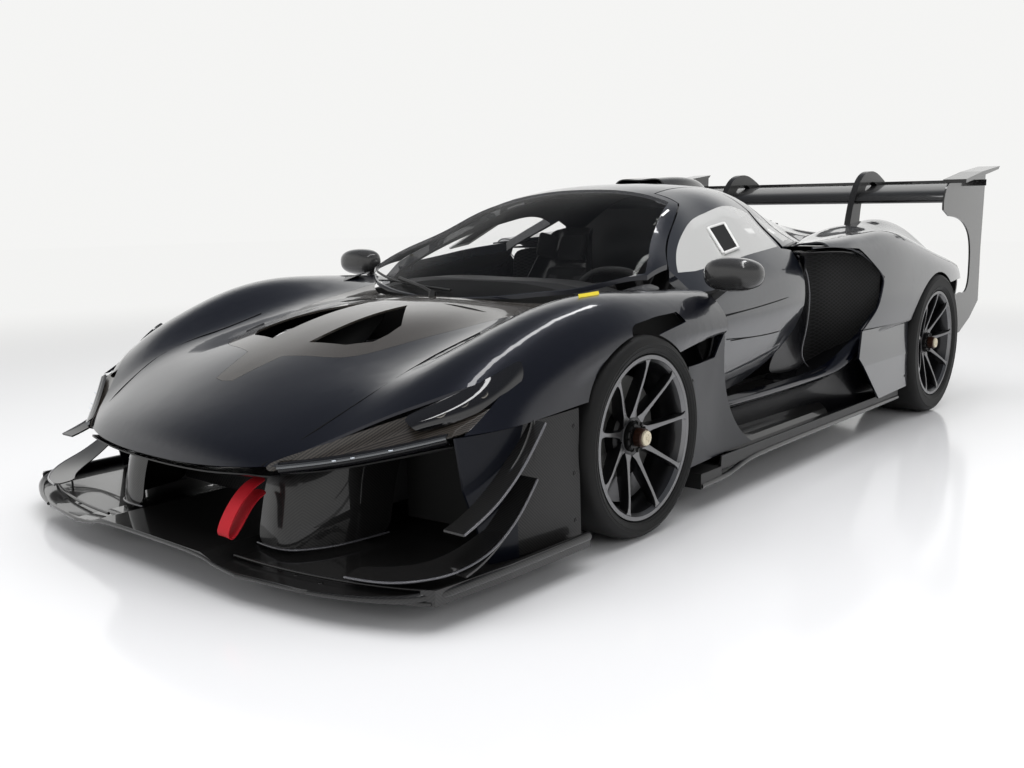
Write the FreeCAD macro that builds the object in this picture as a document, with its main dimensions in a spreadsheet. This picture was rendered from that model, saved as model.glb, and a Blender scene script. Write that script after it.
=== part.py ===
import FreeCAD, Part
import math
import os
import Sketcher
from FreeCAD import Placement, Rotation, Vector

# A low, wide, mid-engined track car in named pieces. X runs rearward, Y to the car's right, Z up.
# Pieces are drawn with the front axle at X = 0 and the ground at Z = 0. Every piece is then moved
# forward by half of what the car reaches behind the front axle more than ahead of it, so that the
# origin is on the ground at the middle of the whole car.
doc = FreeCAD.newDocument("TrackCar")
sheet = doc.addObject("Spreadsheet::Sheet", "Sizes")


class Size:
    """A length from the sheet, which keeps the words that work it out beside its number."""

    def __init__(self, value, words):
        self.value = float(value)
        self.words = words

    def __float__(self):
        return self.value

    def _with(self, other, sign, value):
        words = other.words if isinstance(other, Size) else repr(float(other))
        return Size(value, f"({self.words} {sign} {words})")

    def __add__(self, other):
        return self._with(other, "+", self.value + float(other))

    def __sub__(self, other):
        return self._with(other, "-", self.value - float(other))

    def __mul__(self, other):
        return self._with(other, "*", self.value * float(other))

    def __truediv__(self, other):
        return self._with(other, "/", self.value / float(other))

    def __neg__(self):
        return Size(-self.value, f"(-1 * {self.words})")


row = 0


def size(name, value, meaning):
    """Write one driving dimension in the sheet and hand it back."""
    global row
    row += 1
    sheet.set(f"A{row}", meaning)
    sheet.set(f"B{row}", str(value))
    sheet.setAlias(f"B{row}", name)
    return Size(value, f"Sizes.{name}")


# Main sizes in millimetres
wheelbase = size("wheelbase", 2691, "front axle to rear axle")
front_reach = size("front_reach", 1155, "front axle to the splitter's front edge")
rear_reach = size("rear_reach", 1057, "rear axle to the end plates' rear edge")
front_face = size("front_face", 977, "centre line to the front rims' outer face")
rear_face = size("rear_face", 1003, "centre line to the rear rims' outer face")
front_tyre_size = size("front_tyre_size", 650, "front tyre diameter")
front_tyre_width = size("front_tyre_width", 286, "front tyre width")
rear_tyre_size = size("rear_tyre_size", 705, "rear tyre diameter")
rear_tyre_width = size("rear_tyre_width", 326, "rear tyre width")
rim_size = size("rim_size", 524, "rim diameter over its outer lip")
rim_seat = size("rim_seat", 486, "rim barrel diameter under the tyre bead")
barrel_wall = size("barrel_wall", 9, "rim barrel wall")
lip_width = size("lip_width", 13, "rim outer lip width")
tyre_bulge = size("tyre_bulge", 11, "tyre sidewall past the rim face")
spoke_count = size("spoke_count", 9, "spokes in a rim")
spoke_width = size("spoke_width", 15, "spoke width at the rim")
spoke_depth = size("spoke_depth", 46, "spoke depth at the hub")
hub_size = size("hub_size", 110, "rim hub diameter")
nut_size = size("nut_size", 78, "centre lock nut diameter")
nut_height = size("nut_height", 30, "centre lock nut height past the hub")
disc_size = size("disc_size", 384, "brake disc diameter")
disc_width = size("disc_width", 34, "brake disc thickness")
disc_inset = size("disc_inset", 96, "rim face to the brake disc's outer face")
axle_size = size("axle_size", 60, "stub axle diameter")
axle_play = size("axle_play", 1, "gap round a turning axle")
steer_lock = size("steer_lock", 25, "front wheels' steering lock each way in degrees")
wheel_room = size("wheel_room", 9, "gap between a tyre and the body")
skin = size("skin", 7, "body panel thickness")
pane = size("pane", 5, "glass thickness")
glue = size("glue", 0.3, "gap between glass and its frame")
seam = size("seam", 6, "gap between body panels")
door_wall = size("door_wall", 34, "door thickness")
floor_base = size("floor_base", 74, "ground to the underside of the flat floor")
floor_wall = size("floor_wall", 14, "flat floor thickness")
plate_place = size("plate_place", 895, "centre line to the inner side of the wing end plates")
plate_wall = size("plate_wall", 9, "wing end plate thickness")
wing_chord = size("wing_chord", 470, "rear wing chord")
neck_place = size("neck_place", 402, "centre line to the middle of a swan neck")
neck_wall = size("neck_wall", 34, "swan neck thickness")
sheet.recompute()

shift = (wheelbase + rear_reach - front_reach) / 2
drawn_wheelbase = 2691.0
half_seam = float(seam) / 2


def at(x, y, z):
    """A point of the body. Between the axles the body stretches with the wheelbase."""
    if x > drawn_wheelbase:
        x = x - drawn_wheelbase + float(wheelbase)
    elif x > 0:
        x = x * float(wheelbase) / drawn_wheelbase
    return Vector(x, y, z)


def bind(item, prop, value):
    item.setExpression(prop, value.words)


def place(item, x=None, y=None, z=None):
    """Bind an object's place to the sheet, moved forward to the middle of the car."""
    bind(item, "Placement.Base.x", (x - shift) if x is not None else -shift)
    if y is not None:
        bind(item, "Placement.Base.y", y)
    if z is not None:
        bind(item, "Placement.Base.z", z)


parts = []


def feature(name, shape):
    """A freeform piece: its shape first, then its place."""
    item = doc.addObject("Part::Feature", name)
    item.Label = name
    item.Shape = shape
    place(item)
    parts.append(item)
    return item


def mirrored(shape):
    return shape.mirror(Vector(0, 0, 0), Vector(0, 1, 0))


def gather(shapes):
    solids = [solid for shape in shapes for solid in shape.Solids]
    return solids[0] if len(solids) == 1 else Part.makeCompound(solids)


def both(*shapes):
    """The shapes and their mirror images across the car's centre plane, as one piece."""
    return gather(list(shapes) + [mirrored(shape) for shape in shapes])


def keep_large(shape, least=3000.0):
    """Drop crumbs that trimming leaves."""
    return gather([solid for solid in shape.Solids if solid.Volume > least])


def smooth_line(points):
    curve = Part.BSplineCurve()
    curve.interpolate(points)
    return curve.toShape()


def outline(points, smooth=()):
    """A closed wire. The stretches in smooth, each (first, last), run as one curve."""
    edges = []
    index = 0
    count = len(points)
    while index < count:
        stop = next((last for first, last in smooth if first == index), None)
        if stop is None:
            edges.append(Part.makeLine(points[index], points[(index + 1) % count]))
            index += 1
        else:
            edges.append(smooth_line([points[i % count] for i in range(index, stop + 1)]))
            index = stop
    return Part.Wire(Part.__sortEdges__(edges))


def shrunk(points, distance):
    """The corners of a closed outline moved inward by a distance."""
    count = len(points)
    area = sum(points[i - 1][0] * points[i][1] - points[i][0] * points[i - 1][1] for i in range(count))
    side = 1.0 if area > 0 else -1.0
    moved = []
    for index in range(count):
        normals = []
        for first, last in ((index - 1, index), (index, (index + 1) % count)):
            run = (points[last][0] - points[first][0], points[last][1] - points[first][1])
            length = math.hypot(*run)
            normals.append((-run[1] / length * side, run[0] / length * side))
        (ax, ay), (bx, by) = normals
        share = distance / max(0.35, 1.0 + ax * bx + ay * by)
        moved.append((points[index][0] + (ax + bx) * share, points[index][1] + (ay + by) * share))
    return moved


def plan_block(points, low, high, smooth=(), inset=0.0):
    """A block whose outline is seen from above."""
    points = shrunk(points, inset) if inset else points
    wire = outline([at(x, y, low) for x, y in points], smooth)
    return Part.Face(wire).extrude(Vector(0, 0, high - low))


def side_block(points, inner, outer, smooth=(), inset=0.0):
    """A block whose outline is seen from the side, between two distances from the centre plane."""
    points = shrunk(points, inset) if inset else points
    wire = outline([at(x, inner, z) for x, z in points], smooth)
    return Part.Face(wire).extrude(Vector(0, outer - inner, 0))


def end_block(points, front, rear, smooth=()):
    """A block whose outline is seen from the front, run along the car."""
    start = at(front, 0, 0).x
    wire = outline([Vector(start, y, z) for y, z in points], smooth)
    return Part.Face(wire).extrude(Vector(at(rear, 0, 0).x - start, 0, 0))


def skin_face(rows, across=17, along=17):
    """One smooth face through rows of points, spaced evenly first so that it can't ripple."""
    even_rows = [smooth_line(points).discretize(Number=across) for points in rows]
    columns = [smooth_line(list(points)).discretize(Number=along) for points in zip(*even_rows)]
    surface = Part.BSplineSurface()
    surface.interpolate([list(points) for points in zip(*columns)])
    return surface.toShape()


def right_rows(stations):
    """Rows of one side's skin: each station is its X and its points (Y, Z) from top to bottom."""
    return [[at(x, y, z) for y, z in points] for x, points in stations]


def whole_rows(stations):
    """Rows across the whole car from stations drawn from the centre plane outward."""
    rows = []
    for x, points in stations:
        left = [at(x, -y, z) for y, z in reversed(points[1:])]
        rows.append(left + [at(x, y, z) for y, z in points])
    return rows


def thicken(face, depth):
    """A panel with its outer side on the face and its depth along the face's normal."""
    shape = face.makeOffsetShape(depth, 0.01, False, False, 0, 0, True)
    return shape.Solids[0] if shape.Solids else Part.makeSolid(shape)


def inward(face):
    """Which sign of depth thickens the face towards the car's middle."""
    middle = face.valueAt(*[sum(pair) / 2 for pair in (face.ParameterRange[:2], face.ParameterRange[2:])])
    first, last, low, high = face.ParameterRange
    normal = face.normalAt((first + last) / 2, (low + high) / 2)
    core = Vector(middle.x, 0, min(middle.z, 300.0))
    return 1.0 if normal.dot(core - middle) > 0 else -1.0


def panel(face, depth):
    return thicken(face, inward(face) * float(depth))


# Room for the wheels, which every piece near a wheel is cut back to
def wheel_envelope(x, face, tyre_size, tyre_width, room, lock):
    """What a tyre on the car's right sweeps as it steers, with room round it."""
    radius = float(tyre_size) / 2
    middle = float(face) + float(tyre_bulge) - float(tyre_width) / 2
    half = float(tyre_width) / 2 + room
    shoulder = 34
    profile = [
        Vector(0, -half, 0),
        Vector(radius + room - shoulder, -half, 0),
        Vector(radius + room, -half + shoulder, 0),
        Vector(radius + room, half - shoulder, 0),
        Vector(radius + room - shoulder, half, 0),
        Vector(0, half, 0),
    ]
    wheel = Part.Face(outline(profile)).revolve(Vector(0, 0, 0), Vector(0, 1, 0), 360)
    turned = []
    for share in ((-1, -0.5, 0, 0.5, 1) if lock else (0,)):
        copy = wheel.copy()
        copy.Placement = Placement(Vector(x, middle, radius), Rotation(Vector(0, 0, 1), share * lock))
        turned.append(copy)
    return turned


front_rooms = wheel_envelope(0, front_face, front_tyre_size, front_tyre_width, float(wheel_room),
    float(steer_lock))
rear_rooms = wheel_envelope(float(wheelbase), rear_face, rear_tyre_size, rear_tyre_width,
    float(wheel_room) + 5, 0)


def clear_front(shape):
    """Cut a right-hand piece back from the steered front wheel."""
    return keep_large(shape.cut(front_rooms))


def clear_rear(shape):
    return keep_large(shape.cut(rear_rooms))


# Front body: the bonnet and both wings are one smooth skin from the nose to the door. Its first
# rows curve back towards the sides, so each point has its own X.
bonnet_rows = [
    [(-1128, 0, 343), (-1118, 215, 347), (-1066, 430, 361), (-1000, 560, 376), (-925, 700, 398),
        (-860, 830, 404), (-805, 925, 380), (-770, 958, 300)],
    [(-1082, 0, 412), (-1068, 215, 410), (-1015, 440, 406), (-950, 560, 420), (-885, 700, 446),
        (-815, 835, 452), (-762, 928, 420), (-735, 962, 320)],
    [(-955, 0, 488), (-945, 215, 483), (-905, 465, 470), (-850, 575, 484), (-785, 710, 516),
        (-725, 842, 508), (-680, 932, 462), (-660, 966, 340)],
    [(-780, 0, 566), (-775, 215, 558), (-745, 495, 541), (-700, 595, 560), (-640, 725, 604),
        (-600, 848, 580), (-570, 938, 506), (-555, 968, 380)],
    [(-580, 0, 634), (-575, 230, 623), (-560, 515, 592), (-520, 612, 620), (-470, 732, 676),
        (-445, 852, 650), (-430, 942, 566), (-420, 970, 420)],
    [(-360, 0, 688), (-355, 240, 675), (-345, 525, 642), (-320, 622, 676), (-290, 738, 731),
        (-275, 857, 708), (-265, 946, 625), (-262, 972, 460)],
    [(-120, 0, 716), (-120, 245, 704), (-115, 530, 688), (-105, 627, 718), (-90, 742, 766), (-85, 862, 745),
        (-82, 948, 676), (-80, 974, 520)],
    [(110, 0, 722), (112, 245, 712), (118, 530, 708), (122, 630, 730), (130, 748, 772), (132, 864, 752),
        (134, 946, 694), (136, 970, 560)],
    [(330, 0, 716), (335, 250, 710), (345, 535, 714), (352, 635, 728), (358, 750, 762), (360, 862, 744),
        (362, 936, 700), (364, 956, 590)],
    [(660, 0, 694), (665, 250, 696), (672, 535, 710), (678, 640, 716), (684, 750, 736), (686, 855, 722),
        (688, 922, 690), (690, 940, 600)],
]
bonnet_face = skin_face(
    [[at(x, -y, z) for x, y, z in reversed(half[1:])] + [at(x, y, z) for x, y,
        z in half] for half in bonnet_rows])
bonnet_shell = panel(bonnet_face, skin)

# The lamp slots are cut back from the nose corners to the wing tops, seen from above
lamp_edge = [(-1066, 452), (-960, 548), (-850, 655), (-745, 760), (-650, 826), (-560, 868), (-500, 868)]
slot_plan = [(-1300, 452)] + lamp_edge + [(-505, 885), (-600, 893), (-700, 897), (-800, 890), (-1300, 880)]
slot = plan_block(slot_plan, 200, 900, smooth=((1, 7), (8, 11)))

# The windscreen's foot, seen from above, where bonnet, dash and glass meet
cowl_half = [(96, 0), (118, 200), (190, 400), (300, 560), (410, 668), (455, 700)]
cowl_foot = [(x, -y) for x, y in reversed(cowl_half[1:])] + cowl_half
cowl = plan_block(cowl_foot + [(900, 700), (900, -700)], 300, 1300, smooth=((0, 10),))
wing_rear = plan_block([(575, 640), (561, 1100), (900, 1100), (900, 640)], 300, 1000)

# The bonnet's outlet, a dark carbon insert with a central spine between two open mouths
outlet_half = [(-870, 0), (-862, 42), (-706, 88), (-668, 210), (-640, 283), (-437, 381), (-115, 480),
    (200, 570), (440, 660)]
outlet_edge = [(x, -y) for x, y in reversed(outlet_half[1:])] + outlet_half
outlet_runs = ((0, 6), (10, 16))
outlet = plan_block(outlet_edge, 300, 900, smooth=outlet_runs)
mouth = plan_block([(-602, 92), (-165, 98), (-362, 268), (-440, 288), (-507, 290), (-570, 230)], 300, 900)

vent_line = [(-62, 655), (-50, 672), (10, 688), (100, 697), (236, 702), (262, 668), (160, 655), (66, 640),
    (-44, 606)]
vent = side_block(vent_line, 838, 1100, smooth=((0, 4), (5, 8)))
wing_foot = side_block(
    [(-1000, 200), (-1000, 449), (-775, 452), (-700, 457), (-540, 466), (-330, 480), (400, 520), (800, 520),
        (800, 200)], 846, 1100)

front_clam = bonnet_shell.cut([slot, mirrored(slot), cowl, wing_rear, mirrored(wing_rear), outlet, vent,
    mirrored(vent)])
front_clam = front_clam.cut([wing_foot,
    mirrored(wing_foot)] + front_rooms + [mirrored(room) for room in front_rooms])
feature("front_clam", keep_large(front_clam))

outlet_insert = plan_block(outlet_edge, 300, 900, smooth=outlet_runs, inset=1.0)
feature("bonnet_outlet", keep_large(bonnet_shell.common(outlet_insert).cut([cowl, mouth, mirrored(mouth)])))

# Canopy: windscreen, roof, side glass and engine cover follow one teardrop surface
canopy_stations = [
    (40, [(0, 684), (220, 682), (430, 670), (640, 645), (690, 636), (730, 625), (770, 608), (830, 560)]),
    (200, [(0, 768), (230, 764), (440, 745), (660, 712), (705, 698), (745, 680), (778, 660), (838, 596)]),
    (389, [(0, 862), (230, 857), (450, 830), (690, 778), (722, 758), (750, 735), (775, 712), (838, 620)]),
    (541, [(0, 935), (225, 929), (430, 902), (651, 862), (692, 832), (725, 804), (757, 772), (840, 650)]),
    (720, [(0, 1015), (215, 1009), (400, 982), (560, 940), (622, 900), (690, 850), (766, 790), (842, 670)]),
    (903, [(0, 1084), (205, 1078), (360, 1059), (494, 1030), (570, 975), (665, 895), (774, 810),
        (845, 690)]),
    (1107, [(0, 1132), (200, 1127), (330, 1112), (430, 1086), (520, 1034), (640, 935), (777, 833),
        (847, 705)]),
    (1300, [(0, 1150), (200, 1145), (320, 1131), (420, 1106), (520, 1052), (640, 952), (772, 848),
        (845, 720)]),
    (1500, [(0, 1151), (200, 1145), (310, 1130), (405, 1104), (500, 1048), (620, 952), (752, 866),
        (840, 735)]),
    (1700, [(0, 1139), (190, 1132), (290, 1115), (380, 1084), (470, 1028), (585, 940), (705, 872),
        (820, 750)]),
    (1927, [(0, 1100), (180, 1092), (270, 1070), (350, 1030), (430, 975), (520, 915), (620, 862),
        (760, 780)]),
    (2150, [(0, 1048), (170, 1040), (250, 1018), (320, 982), (390, 942), (460, 912), (530, 892),
        (660, 862)]),
    (2400, [(0, 990), (150, 983), (230, 966), (290, 940), (350, 916), (410, 902), (480, 893), (580, 880)]),
    (2660, [(0, 936), (150, 931), (230, 921), (290, 911), (350, 904), (410, 899), (480, 893), (580, 884)]),
]
canopy_face = skin_face(whole_rows(canopy_stations))
canopy_shell = panel(canopy_face, float(skin) * 2)
canopy_glass = panel(canopy_face, pane)

screen_half = [(x + 6, y) for x, y in cowl_half[:-1]] + [(448, 684), (541, 640), (720, 548), (903, 480),
    (985, 452), (1030, 230), (1046, 0)]
screen_edge = screen_half + [(x, -y) for x, y in reversed(screen_half[1:-1])]
screen_runs = ((0, 5), (6, 9), (9, 13), (13, 16), (17, 22))
screen = plan_block(screen_edge, 500, 1300, smooth=screen_runs)
screen_pane = plan_block(screen_edge, 500, 1300, smooth=screen_runs, inset=float(glue))
feature("windscreen", keep_large(canopy_glass.common(screen_pane)))

pillar = [(575, 700), (640, 650), (735, 598), (915, 526), (1020, 474), (1045, 345), (1490, 330)]
door_plan = pillar + [(1560, 520), (1480, 650), (1425, 748), (1600, 768), (1600, 980), (575, 980)]
door_own_plan = pillar + [(1546, 519), (1464, 641), (1408, 748), (1600, 776), (1600, 980), (575, 980)]
door_runs = ((0, 4),)
door_above = plan_block(door_plan, 690, 1300, smooth=door_runs)

quarter_plan = [(1568, 545), (1650, 560), (1745, 628), (1660, 672), (1500, 716), (1512, 640)]
quarter = plan_block(quarter_plan, 690, 1300)
quarter_pane = plan_block(quarter_plan, 690, 1300, inset=float(glue))
feature("quarter_windows", both(keep_large(canopy_glass.common(quarter_pane))))

# The haunches' inner edge, seen from above, where roof, engine cover and deck end
shoulder_line = [(1380, 760), (1520, 735), (1740, 672), (1960, 590), (2215, 505), (2450, 450), (2700, 415),
    (2900, 400), (3130, 395)]
shoulder = plan_block([(x, y - float(seam)) for x, y in shoulder_line] + [(3130, 1000), (1380, 1000)], 500,
    1300, smooth=((0, 8),))
cover_front = 1770
cover_rear = 2640
roof_tail = plan_block([(cover_front, -900), (cover_front, 900), (2900, 900), (2900, -900)], 600, 1300)
belt_line = [(-100, 100), (-100, 700), (470, 748), (541, 770), (903, 806), (1300, 842), (1386, 850),
    (1386, 100)]
below_belt = side_block(belt_line, -1000, 1000)
roof_foot = plan_block(cowl_foot + [(-200, 700), (-200, -700)], 300, 1300, smooth=((0, 10),))
roof = canopy_shell.cut([screen, door_above, mirrored(door_above), quarter, mirrored(quarter), roof_tail,
    below_belt, shoulder, mirrored(shoulder)])
pillar_foot = plan_block([(-200, 694), (-200, 1000), (581, 1000), (581, 694)], 300, 1300)
feature("roof", keep_large(roof.cut([roof_foot, pillar_foot, mirrored(pillar_foot)])))

cover_ahead = plan_block([(-200, -1000), (-200, 1000), (cover_front + float(seam), 1000),
    (cover_front + float(seam), -1000)], 300, 1300)
cover_behind = plan_block([(cover_rear, -1000), (cover_rear, 1000), (2900, 1000), (2900, -1000)], 300, 1300)
feature("engine_cover", keep_large(canopy_shell.cut([cover_ahead, cover_behind, shoulder,
    mirrored(shoulder)])))

# Roof scoop over the engine: a low blister with an open mouth at its front
scoop_sections = []
for x, half, base, top in ((1470, 150, 1120, 1172), (1600, 158, 1118, 1180), (1760, 150, 1100, 1180),
    (1900, 110, 1074, 1160), (2000, 60, 1050, 1118)):
    arch = [Vector(at(x, 0, 0).x, -half, base), Vector(at(x, 0, 0).x, -half * 0.8, top - 6),
        Vector(at(x, 0, 0).x, 0, top),
            Vector(at(x, 0, 0).x, half * 0.8, top - 6), Vector(at(x, 0, 0).x, half, base)]
    scoop_sections.append(outline(arch, smooth=((0, 4),)))
scoop = Part.makeLoft(scoop_sections, True, False)
scoop_bore = end_block([(-128, 1100), (-118, 1160), (0, 1166), (118, 1160), (128, 1100)], 1400, 1700,
    smooth=((0, 4),))
above_roof = scoop.cut([canopy_shell, scoop_bore])
feature("roof_scoop", gather([max(above_roof.Solids, key=lambda solid: solid.BoundBox.ZMax)]))

# Doors: one skin from the roof's inner edge to the sill, with the window cut through
door_stations = [
    (480, [(300, 888), (430, 872), (660, 806), (708, 784), (735, 758), (762, 738), (800, 712), (836, 655),
        (838, 560), (822, 440), (776, 290)]),
    (720, [(300, 998), (400, 982), (560, 940), (622, 900), (690, 850), (766, 790), (815, 750), (861, 660),
        (856, 560), (824, 430), (768, 280)]),
    (903, [(290, 1069), (360, 1059), (494, 1030), (570, 975), (665, 895), (774, 810), (822, 764),
        (868, 664), (860, 560), (822, 430), (762, 280)]),
    (1107, [(260, 1121), (330, 1112), (430, 1086), (520, 1034), (640, 935), (777, 833), (826, 782),
        (872, 668), (861, 562), (816, 430), (752, 282)]),
    (1300, [(255, 1140), (320, 1131), (420, 1106), (520, 1052), (640, 952), (772, 848), (824, 795),
        (872, 672), (856, 565), (806, 430), (740, 290)]),
    (1500, [(250, 1139), (310, 1130), (405, 1104), (500, 1048), (620, 952), (752, 866), (806, 812),
        (858, 682), (840, 570), (788, 430), (722, 296)]),
    (1640, [(248, 1130), (300, 1120), (390, 1092), (482, 1036), (598, 945), (722, 872), (782, 820),
        (840, 690), (822, 575), (770, 430), (705, 300)]),
]
door_face = skin_face(right_rows(door_stations))
door_shell = panel(door_face, door_wall)
door_side = [(400, 742), (400, 1250), (1640, 1250), (1640, 886), (1492, 886), (1445, 800), (1408, 700),
    (1402, 665), (1370, 560), (1275, 466),
             (1150, 400), (1020, 360), (770, 330), (735, 345), (716, 440), (706, 570), (650, 665), (600,
                 705), (560, 735)]
door_outline = side_block(door_side, 200, 1000, smooth=((7, 12),), inset=half_seam)
door_region = plan_block(door_own_plan, 200, 1300, smooth=door_runs, inset=float(seam)).common(door_outline)
glass_plan = [(610, 722), (700, 660), (860, 596), (1000, 558), (1180, 538), (1390, 528), (1500, 544),
    (1440, 640), (1388, 742), (1000, 754), (700, 742)]
glass_runs = ((0, 6), (8, 10))
window = plan_block(glass_plan, 760, 1300, smooth=glass_runs)
window_pane = plan_block(glass_plan, 700, 1300, smooth=glass_runs, inset=float(glue))
door = keep_large(door_shell.common(door_region).cut(window))
door_pane = keep_large(panel(door_face, pane).common(window_pane))
feature("door_right", door)
feature("door_left", mirrored(door))
feature("door_glass_right", door_pane)
feature("door_glass_left", mirrored(door_pane))

# Door mirrors: a rounded carbon cap on a swept arm from the door's front upper corner
cap_rings = []
for y, half_x, half_z, x, z in ((850, 22, 26, 590, 812), (880, 44, 50, 586, 810), (960, 52, 60, 580, 808),
    (1040, 44, 50, 588, 807), (1072, 26, 30, 596, 805)):
    turns = [math.tau * index / 12 for index in range(12)]
    cap_rings.append(outline([at(x + half_x * math.cos(turn), y,
        z + half_z * math.sin(turn)) for turn in turns]))
cap = Part.makeLoft(cap_rings, True, True)
arm = side_block([(600, 716), (660, 700), (672, 712), (640, 745), (610, 765), (576, 765)], 836, 960).cut(
    side_block([(560, 600), (560, 790), (700, 790), (700, 600)], 0, 843))
mirror = keep_large(arm.fuse(cap))
feature("mirror_right", mirror)
feature("mirror_left", mirrored(mirror))

# Rear body: each haunch runs from the side intake over the rear wheel to the tail
haunch_stations = [
    (1380, [(760, 850), (775, 862), (800, 872), (840, 874), (880, 868), (905, 840), (925, 760), (930, 600),
        (925, 450)]),
    (1520, [(735, 868), (748, 874), (790, 884), (850, 892), (900, 884), (928, 850), (945, 770), (948, 620),
        (940, 450)]),
    (1740, [(672, 880), (700, 888), (780, 896), (868, 906), (922, 892), (950, 852), (964, 770), (966, 630),
        (955, 450)]),
    (1960, [(590, 888), (700, 906), (785, 908), (872, 920), (932, 900), (964, 852), (980, 770), (984, 640),
        (972, 450)]),
    (2215, [(505, 894), (700, 922), (790, 916), (876, 928), (940, 902), (974, 850), (992, 770), (997, 640),
        (985, 450)]),
    (2450, [(450, 898), (700, 930), (790, 910), (874, 902), (940, 872), (976, 824), (996, 755), (1003, 640),
        (992, 450)]),
    (2700, [(415, 900), (695, 930), (785, 890), (866, 850), (934, 826), (974, 790), (996, 740), (1004, 640),
        (995, 450)]),
    (2900, [(400, 904), (690, 922), (775, 860), (856, 812), (926, 790), (966, 765), (990, 722), (1000, 630),
        (990, 450)]),
    (3130, [(395, 908), (680, 905), (760, 838), (840, 778), (905, 752), (945, 735), (968, 700), (978, 620),
        (970, 450)]),
]
haunch_face = skin_face(right_rows(haunch_stations))
haunch_shell = panel(haunch_face, skin)
intake_lip = [(1300, 1000), (1512, 1000), (1520, 872), (1760, 858), (1985, 725), (1930, 590), (1780, 500),
    (1740, 430), (1300, 430)]
intake = side_block(intake_lip, 300, 1100)
haunch_foot = side_block([(1600, 400), (1600, 496), (2350, 500), (2691, 640), (3020, 655), (3200, 655),
    (3200, 400)], 300, 1100)
feature("rear_clam", both(clear_rear(haunch_shell.cut([intake, haunch_foot]))))

# Rear deck between the haunches, behind the engine cover
deck_edge = [(x, y - float(seam)) for x, y in ((cover_rear + 6, 422), (2700, 415), (2900, 400),
    (3120, 395))]
deck = plan_block(deck_edge + [(x, -y) for x, y in reversed(deck_edge)], 886, 898)
feature("rear_deck", deck)

# Side intakes: dark duct walls, a slanted mesh and the radiator behind it
duct_wall = plan_block([(1455, 690), (1455, 742), (1800, 660), (1900, 655), (1900, 620), (1780, 620)], 322,
    840)
duct_floor = plan_block([(1470, 745), (1705, 690), (1905, 662), (1990, 930), (1790, 925), (1600, 885),
    (1470, 850)], 316, 326)
duct_roof = plan_block([(1560, 735), (1705, 695), (1905, 662), (1945, 900), (1760, 905), (1560, 840)], 842,
    850)
feature("side_ducts", both(keep_large(duct_wall), duct_floor.cut(duct_wall), duct_roof.cut(duct_wall)))
core = plan_block([(1912, 664), (1985, 928), (2035, 928), (1962, 664)], 330, 836)
feature("radiators", both(core))

# Painted lower panels ahead of the rear wheels
rear_blade_line = [(1720, 380), (1765, 496), (2345, 494), (2345, 176), (1985, 165)]
rear_blade = end_block([(930, 140), (930, 520), (976, 520), (990, 340), (984, 140)], 1600,
    2500).common(side_block(rear_blade_line, 800, 1100))
feature("rear_blades", both(clear_rear(rear_blade.cut(end_block([(900, 100), (900, 560), (966, 560),
    (980, 340), (974, 100)], 1500, 2600)))))

# Blades behind the front wheels, hollowed so that air leaves the arch along the door
blade_stations = [
    (300, [(950, 640), (952, 520), (953, 400), (955, 280), (962, 150)]),
    (430, [(936, 640), (934, 520), (932, 400), (938, 280), (954, 150)]),
    (560, [(916, 640), (908, 520), (906, 400), (918, 280), (946, 150)]),
    (700, [(896, 640), (888, 520), (888, 400), (904, 280), (940, 150)]),
    (840, [(880, 640), (872, 520), (874, 400), (896, 280), (936, 150)]),
]
blade_shell = panel(skin_face(right_rows(blade_stations)), skin)
blade_line = [(300, 166), (300, 512), (560, 512), (648, 596), (664, 470), (690, 340), (742, 232),
    (822, 166)]
front_blade = clear_front(blade_shell.common(side_block(blade_line, 800, 1100, smooth=((4, 7),))))
feature("front_blades", both(front_blade))

# Front corners: a painted vane ahead of a carbon panel that closes the arch
corner_stations = [
    (-800, [(868, 480), (872, 300), (880, 90)]),
    (-700, [(906, 480), (912, 300), (920, 90)]),
    (-600, [(934, 480), (940, 300), (948, 90)]),
    (-480, [(954, 480), (958, 300), (964, 90)]),
    (-330, [(966, 480), (970, 300), (976, 90)]),
]
corner_face = skin_face(right_rows(corner_stations))
vane_line = [(-775, 445), (-757, 300), (-720, 180), (-690, 84), (-600, 84), (-600, 360), (-570, 456)]
vane = panel(corner_face, skin).common(side_block(vane_line, 800, 1100))
feature("corner_vanes", both(keep_large(vane)))
fairing_line = [(-596, 84), (-596, 360), (-566, 456), (-330, 470), (-330, 84)]
fairing = panel(corner_face, float(skin) + 12).common(side_block(fairing_line, 800,
    1100)).cut(panel(corner_face, 12))
feature("wheel_fairings", both(clear_front(fairing)))


def dive_plane(line, inner, outer):
    """A thin blade that curls up along the corner."""
    lower = [(x, z - 6) for x, z in reversed(line)]
    count = len(line)
    return side_block(line + lower, inner, outer, smooth=((0, count - 1), (count, 2 * count - 1)))


upper_dive = dive_plane([(-880, 236), (-800, 262), (-715, 306), (-620, 380), (-545, 468)], 930, 1000)
lower_dive = dive_plane([(-880, 130), (-790, 158), (-710, 205), (-640, 262), (-590, 322)], 930, 1006)
corner_solid = panel(corner_face, 60)
feature("dive_planes", both(keep_large(upper_dive.cut([corner_solid, bonnet_shell])),
    keep_large(lower_dive.cut(corner_solid))))

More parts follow.
